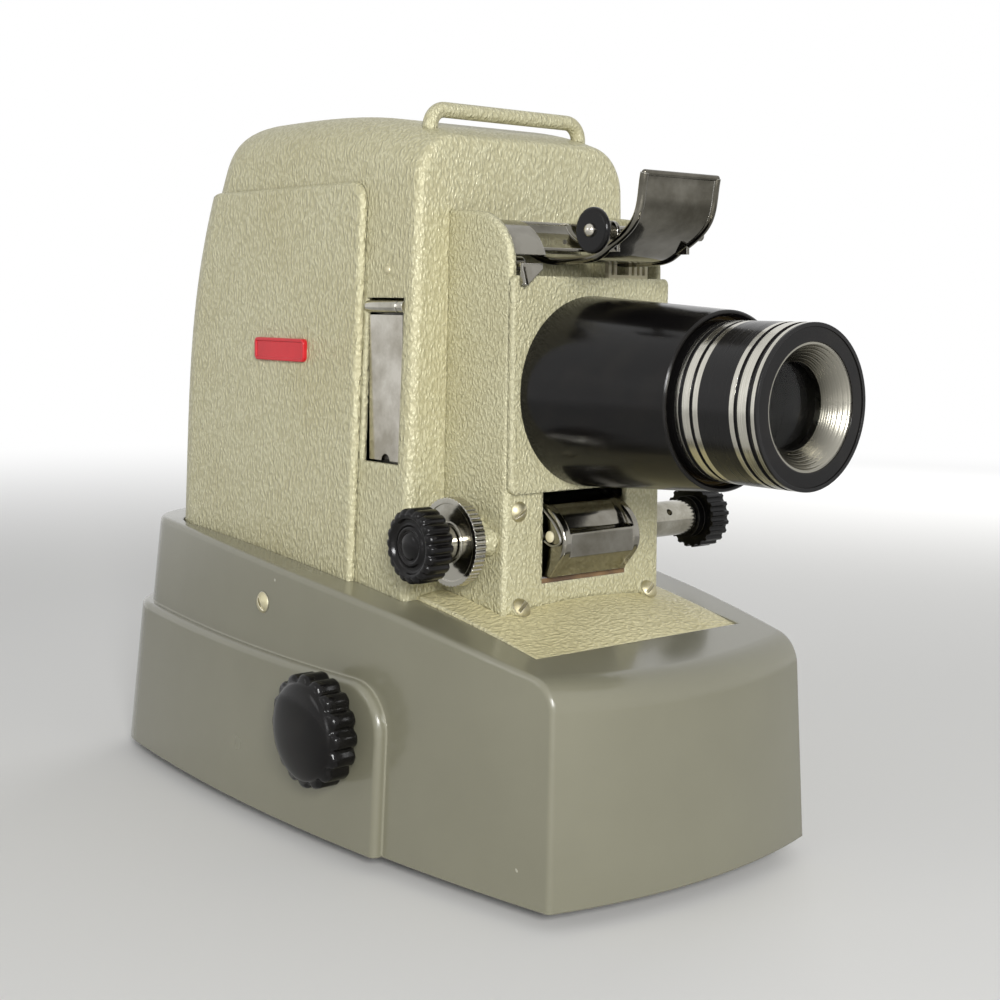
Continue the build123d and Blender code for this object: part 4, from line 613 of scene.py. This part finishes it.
def turned_shape(profile, steps):
    shape = bmesh.new()
    corners = [shape.verts.new((radius, 0, height)) for radius, height in profile]
    edges = [shape.edges.new(pair) for pair in zip(corners, corners[1:])]
    bmesh.ops.spin(shape, geom=corners + edges, cent=(0, 0, 0), axis=(0, 0, 1), angle=2 * math.pi,
                   steps=steps, use_merge=True)
    bmesh.ops.remove_doubles(shape, verts=shape.verts, dist=1e-4)
    return shape


def laid_on(place, axis):
    turn = Vector((0, 0, 1)).rotation_difference(Vector(axis)).to_matrix().to_4x4()
    return Matrix.Translation(place) @ turn @ Matrix.Scale(MM, 4)


def facing_left(node, end):
    low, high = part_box(node)
    middle = Vector([(a + b) / 2 for a, b in zip(low, high)])
    return laid_on(((low, high)[end].x, middle.y, middle.z), LEFT)


def finish_piece(shape, name, body, finish, place=None, smooth=True):
    if place:
        bmesh.ops.transform(shape, matrix=place, verts=shape.verts)
    bmesh.ops.recalc_face_normals(shape, faces=shape.faces)
    for face in shape.faces:
        face.smooth = smooth
    mesh = bpy.data.meshes.new(name)
    shape.to_mesh(mesh)
    shape.free()
    mesh.materials.append(finish)
    piece = bpy.data.objects.new(name, mesh)
    bpy.context.scene.collection.objects.link(piece)
    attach(piece, body)
    print(name, len(mesh.polygons), "faces")
    return piece


def quarter_arc(radius, rise, first, step):
    angles = [math.radians(angle) for angle in range(first, 91, step)]
    return [(radius * math.cos(angle), rise * math.sin(angle)) for angle in angles]


# %% [markdown]
# The tilt knob and the film advance knob are pressed plastic with round flutes. Cutting every flute with a
# boolean is slow and leaves ragged edges. Here the rim is spun smooth with ten steps or more to a flute,
# and then each rim point is drawn in by a wave that follows its angle, so lobes and hollows share one clean
# run of faces. The hollows fade in over a short way from the inner radius.

# %% Helper for fluted knobs
FADE_IN = 1.8


def draw_in_flutes(shape, flutes, depth, inner_radius, sharpness):
    for point in shape.verts:
        radius = math.hypot(point.co.x, point.co.y)
        if radius > inner_radius:
            wave = 0.5 - 0.5 * math.cos(flutes * math.atan2(point.co.y, point.co.x))
            share = min(1.0, (radius - inner_radius) / FADE_IN)
            pull = 1 - depth * wave ** sharpness * share / radius
            point.co.x *= pull
            point.co.y *= pull


# %% Tilt knob
TILT_LOBES = 16
DOME_RADIUS = 22.2
DOME_FOOT = 13.2
DOME_RISE = 4.3

dome = [(radius, DOME_FOOT + height) for radius, height in quarter_arc(DOME_RADIUS, DOME_RISE, 10, 8)]
profile = [(0, 0), (24.0, 0), (25.2, 0.5), (25.8, 1.6), (25.8, 10.8), (25.4, 12.0), (24.4, 12.7),
           (22.6, 12.8), (22.2, 13.1), *dome, (0, 17.5)]
shape = turned_shape(profile, TILT_LOBES * 10)
draw_in_flutes(shape, TILT_LOBES, 2.4, 22.4, 2.2)
tilt_grip = finish_piece(shape, "tilt_grip", "tilt_shaft", black_phenolic,
                         facing_left("tilt_knob", INNER_END))
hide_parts("tilt_knob")

# %% [markdown]
# The film advance knob has the same fluted rim and a face with two raised rings round a button. All of that
# is in the profile: each ring is two small slopes with a flat between them.

# %% Left advance knob
ADVANCE_FLUTES = 20

profile = [(0, 0), (14.6, 0), (15.9, 0.5), (16.5, 1.6), (16.5, 10.6), (16.2, 11.8), (15.4, 12.6),
           (14.4, 13.0), (12.6, 13.0), (12.0, 12.6), (11.7, 11.4), (11.2, 11.0), (9.4, 11.0), (8.9, 11.4),
           (8.6, 12.0), (8.0, 12.4), (7.2, 12.4), (6.8, 12.0), (6.5, 11.5), (6.1, 11.5), (5.7, 12.1),
           (4.9, 12.6), (2.4, 12.95), (0, 13.0)]
shape = turned_shape(profile, ADVANCE_FLUTES * 12)
draw_in_flutes(shape, ADVANCE_FLUTES, 1.3, 13.6, 2.6)
left_grip = finish_piece(shape, "left_grip", "advance", black_phenolic,
                         facing_left("left_knob", INNER_END))
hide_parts("left_knob")

# %% [markdown]
# The sprocket shoe is one pressing of thin chromed sheet: two rounded cheeks, a lower band between them,
# and a flat pad across the front with a plate that slopes back below it. Seen from the side these are two
# outlines, each a list of height and depth in millimetres. A grid is laid over the front and each point
# takes its depth from one outline or the other. The open sides are then drawn back as the cheeks' walls,
# and the sheet gets its thickness at the end.

# %% Depth of the shoe at a height
CHEEK_OUTLINE = ((166.0, 44.0), (164.6, 38.5), (161.9, 33.3), (158.2, 27.1), (153.1, 22.4), (146.5, 20.4),
                 (140.6, 21.2), (129.7, 30.6))
BAND_OUTLINE = ((166.0, 46.0), (164.8, 44.0), (162.0, 36.0), (156.5, 30.0), (151.2, 26.6), (150.7, 21.5),
                (150.0, 21.2), (139.6, 21.2), (129.7, 30.6))


def depth_on(outline, height):
    height = min(max(height, outline[-1][0]), outline[0][0])
    for (high, near), (low, far) in zip(outline, outline[1:]):
        if height >= low:
            return far + (near - far) * (height - low) / (high - low)
    return outline[-1][1]


def softened_depth(outline, height, reach):
    samples = [depth_on(outline, height + reach * step / 3) for step in range(-3, 4)]
    return sum(samples) / len(samples)


def soft_step(value, start, end):
    part = min(max((value - start) / (end - start), 0.0), 1.0)
    return part * part * (3 - 2 * part)


print("shoe front at", min(depth for height, depth in CHEEK_OUTLINE), "mm")

# %% Sprocket shoe
SHOE_HALF = 23.5
SHOE_MIDDLE = 147.8
SHOE_REACH = 17.8
CHEEK_SOFTNESS = 2.4
BAND_SOFTNESS = 0.35
BAND_HALF = 18.7
CHEEK_STARTS = 19.5
SIDE_ROLL = 1.4
WALL_BACK = 44.5
SHEET = 0.8

shape = bmesh.new()
bmesh.ops.create_grid(shape, x_segments=94, y_segments=150, size=1.0)
for point in shape.verts:
    across = point.co.x * SHOE_HALF
    height = SHOE_MIDDLE + SHOE_REACH * point.co.y
    cheek = softened_depth(CHEEK_OUTLINE, height, CHEEK_SOFTNESS)
    band = softened_depth(BAND_OUTLINE, height, BAND_SOFTNESS)
    inner = 1 - soft_step(abs(across), BAND_HALF, CHEEK_STARTS)
    rolled = max(0.0, abs(across) - (SHOE_HALF - SIDE_ROLL)) / SIDE_ROLL
    roll_back = SIDE_ROLL * (1 - math.sqrt(max(0.0, 1 - rolled ** 2)))
    point.co = (across, cheek + (band - cheek) * inner + roll_back, height)
ends = [edge for edge in shape.edges if edge.is_boundary
        and all(abs(abs(point.co.x) - SHOE_HALF) < 0.01 for point in edge.verts)]
walls = bmesh.ops.extrude_edge_only(shape, edges=ends)
for part in walls["geom"]:
    if isinstance(part, bmesh.types.BMVert):
        part.co.y = WALL_BACK
bmesh.ops.recalc_face_normals(shape, faces=shape.faces)
bmesh.ops.solidify(shape, geom=shape.faces, thickness=SHEET)
shoe_hood = finish_piece(shape, "shoe_hood", "shoe", chrome, Matrix.Scale(MM, 4))
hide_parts("sprocket_shoe")

# %% [markdown]
# A hair spring holds the shoe down, and its end hooks round the screw on the left cheek. A wire is a curve
# with a round section: a few control points, in millimetres, are enough, because the spline keeps it
# smooth. It is turned into a mesh so that it rides like every other piece.

# %% Spring wire
WIRE_X = -24.6
WIRE_ROUTE = ((34.5, 160.5), (27.6, 155.8), (22.6, 149.6), (22.0, 146.4), (25.6, 144.6), (29.5, 144.4),
              (32.8, 146.2))

wire = bpy.data.curves.new("spring_wire_route", "CURVE")
wire.dimensions = "3D"
wire.bevel_depth = 0.0005
wire.bevel_resolution = 3
wire.use_fill_caps = True
run = wire.splines.new("NURBS")
run.points.add(len(WIRE_ROUTE) - 1)
for knot, (depth, height) in zip(run.points, WIRE_ROUTE):
    knot.co = (WIRE_X / 1000, depth / 1000, height / 1000, 1)
run.order_u = 3
run.use_endpoint_u = True
holder = bpy.data.objects.new("spring_wire_curve", wire)
shape = bmesh.new()
shape.from_mesh(holder.to_mesh())
finish_piece(shape, "shoe_spring_wire", "shoe", satin_steel)
bpy.data.objects.remove(holder)

# %% Shoe screw
SHOE_SCREW_PLACE = (-0.0236, 0.0299, 0.1483)

profile = [(0, -1.5), (1.2, -1.5), (1.2, 0), (2.6, 0), (2.6, 0.6), (2.2, 1.1), (1.2, 1.45), (0, 1.5)]
finish_piece(turned_shape(profile, 32), "shoe_screw", "shoe", cream_plastic,
             laid_on(SHOE_SCREW_PLACE, LEFT))

# %% [markdown]
# The film cradle's sheet is rolled over at its tip as well as along its sides, and the spindle ends in a
# bright domed cap in the middle of its black disc. Both are lathe shapes: a thin bar with round ends that
# lies across the tip, and a half ball.

# %% Bead across the cradle's tip
BEAD_RADIUS = 1.3
BEAD_HALF = 21.5
CRADLE_TIP = (0, -0.0213, 0.3036)

turns_of_end = [math.radians(angle) for angle in range(0, 91, 15)]
round_end = [(BEAD_RADIUS * math.sin(turn), -BEAD_HALF - BEAD_RADIUS * math.cos(turn))
             for turn in turns_of_end]
profile = round_end + [(across, -along) for across, along in reversed(round_end)]
finish_piece(turned_shape(profile, 24), "cradle_tip_bead", "projector", cradle_chrome_with_painted_dark_reflection,
             laid_on(CRADLE_TIP, (1, 0, 0)))

# %% Domed cap on the spindle
CAP_RADIUS = 2.9
CAP_RISE = 2.3

profile = [(0, -0.4), (2.7, -0.4), (CAP_RADIUS, 0), *quarter_arc(CAP_RADIUS, CAP_RISE, 15, 15)]
finish_piece(turned_shape(profile, 32), "spindle_cap", "spindle", bright_chrome,
             facing_left("film_spindle", OUTER_END))

# %% [markdown]
# A small rivet sits in the side wall strip of the lamp house, above the tray slot. Its head is a shallow
# dome, painted over and rubbed down to pale metal. The wall leans in a little, and the rivet with it.

# %% Rivet over the tray slot
RIVET_PLACE = (-0.0637, 0.0973, 0.2643)
WALL_OUTWARD = (-1, 0, 0.043)

profile = [(0, -0.6), (2.1, -0.6), (2.0, 0.1), (1.6, 0.4), (0.9, 0.62), (0, 0.7)]
finish_piece(turned_shape(profile, 32), "house_rivet", "projector", screw_nickel,
             laid_on(RIVET_PLACE, WALL_OUTWARD))

# %% [markdown]
# The rear cover is pressed sheet, so its outer edge is rolled, and the roll along the front catches a
# bright line of light. The solid has a square edge there. The simplest way is to bevel that one chain of
# edges on a merged copy of the solid's own mesh. The chain is found by its normals: a sharp edge that
# belongs to a wall facing away from the middle. A Weighted Normal modifier then keeps the large flat walls
# shaded flat.

# %% Rolled edge of the rear cover
EDGE_ROLL = 0.0026
REAR_STARTS_Y = 0.2
FRONT_ENDS_Y = 0.13
REAR_REACH = 0.06
OUTWARD = 0.01


def round_edges(shape, edges, offset, segments):
    bmesh.ops.bevel(shape, geom=edges, offset=offset, segments=segments, profile=0.5, affect="EDGES",
                    material=-1)


def faces_away(edge):
    middle = (edge.verts[0].co + edge.verts[1].co) / 2
    walls = [face.normal for face in edge.link_faces if abs(face.normal.z) < 0.6]
    at_rear = middle.y > REAR_STARTS_Y
    wall = max(walls, key=lambda normal: abs(normal.x) + (abs(normal.y) if at_rear else 0))
    return wall.x * middle.x + (wall.y * REAR_REACH if at_rear else 0) > OUTWARD


def on_front_or_top(edge):
    ends = [face.normal for face in edge.link_faces]
    front = (ends[0] + ends[1]).y < -0.1 and edge.verts[0].co.y < FRONT_ENDS_Y
    return front or any(normal.z > 0.9 for normal in ends)


shape = bmesh.new()
shape.from_mesh(nodes_of_part["rear_cover"].data)
bmesh.ops.remove_doubles(shape, verts=shape.verts, dist=1e-6)
bmesh.ops.dissolve_limit(shape, angle_limit=math.radians(0.2), verts=shape.verts, edges=shape.edges)
sharp = [edge for edge in shape.edges if edge.calc_face_angle() > math.radians(50)]
rolled_edge = [edge for edge in sharp if on_front_or_top(edge) and faces_away(edge)]
print("rolled edge", round(sum(edge.calc_length() for edge in rolled_edge), 3), "m long")
round_edges(shape, rolled_edge, EDGE_ROLL, 6)
for edge in shape.edges:
    edge.smooth = edge.calc_face_angle() < math.radians(25)
cover_shell = finish_piece(shape, "cover_shell", "cover", wall_enamel)
evened = cover_shell.modifiers.new("flat_walls", "WEIGHTED_NORMAL")
evened.keep_sharp = True
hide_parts("rear_cover")

# %% [markdown]
# The badge place on the cover stays bare: a plain red plaque with a raised border. A cube is scaled to the
# node's box, its corners are rounded, and its outer face is inset twice, once for the border and once for
# the slope down to the field.

# %% Plain badge
CORNER_RADIUS = 0.0024
RIM_RADIUS = 0.0005
BORDER = 0.0009
SLOPE = 0.0004
FIELD_DEPTH = 0.0005

low, high = [Vector(corner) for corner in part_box("cover_badge")]
shape = bmesh.new()
bmesh.ops.create_cube(shape, size=1.0)
bmesh.ops.scale(shape, vec=high - low, verts=shape.verts)
bmesh.ops.translate(shape, vec=(low + high) / 2, verts=shape.verts)
upright = [edge for edge in shape.edges if abs(edge.verts[0].co.x - edge.verts[1].co.x) > 0.001]
round_edges(shape, upright, CORNER_RADIUS, 6)
outer = [face for face in shape.faces if face.normal.x < -0.9]
round_edges(shape, list(outer[0].edges), RIM_RADIUS, 3)
outer = [max((face for face in shape.faces if face.normal.x < -0.9), key=lambda face: face.calc_area())]
bmesh.ops.inset_region(shape, faces=outer, thickness=BORDER)
bmesh.ops.inset_region(shape, faces=outer, thickness=SLOPE, depth=-FIELD_DEPTH)
plaque = finish_piece(shape, "plain_plaque", "cover", red_paint, smooth=False)
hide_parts("cover_badge")
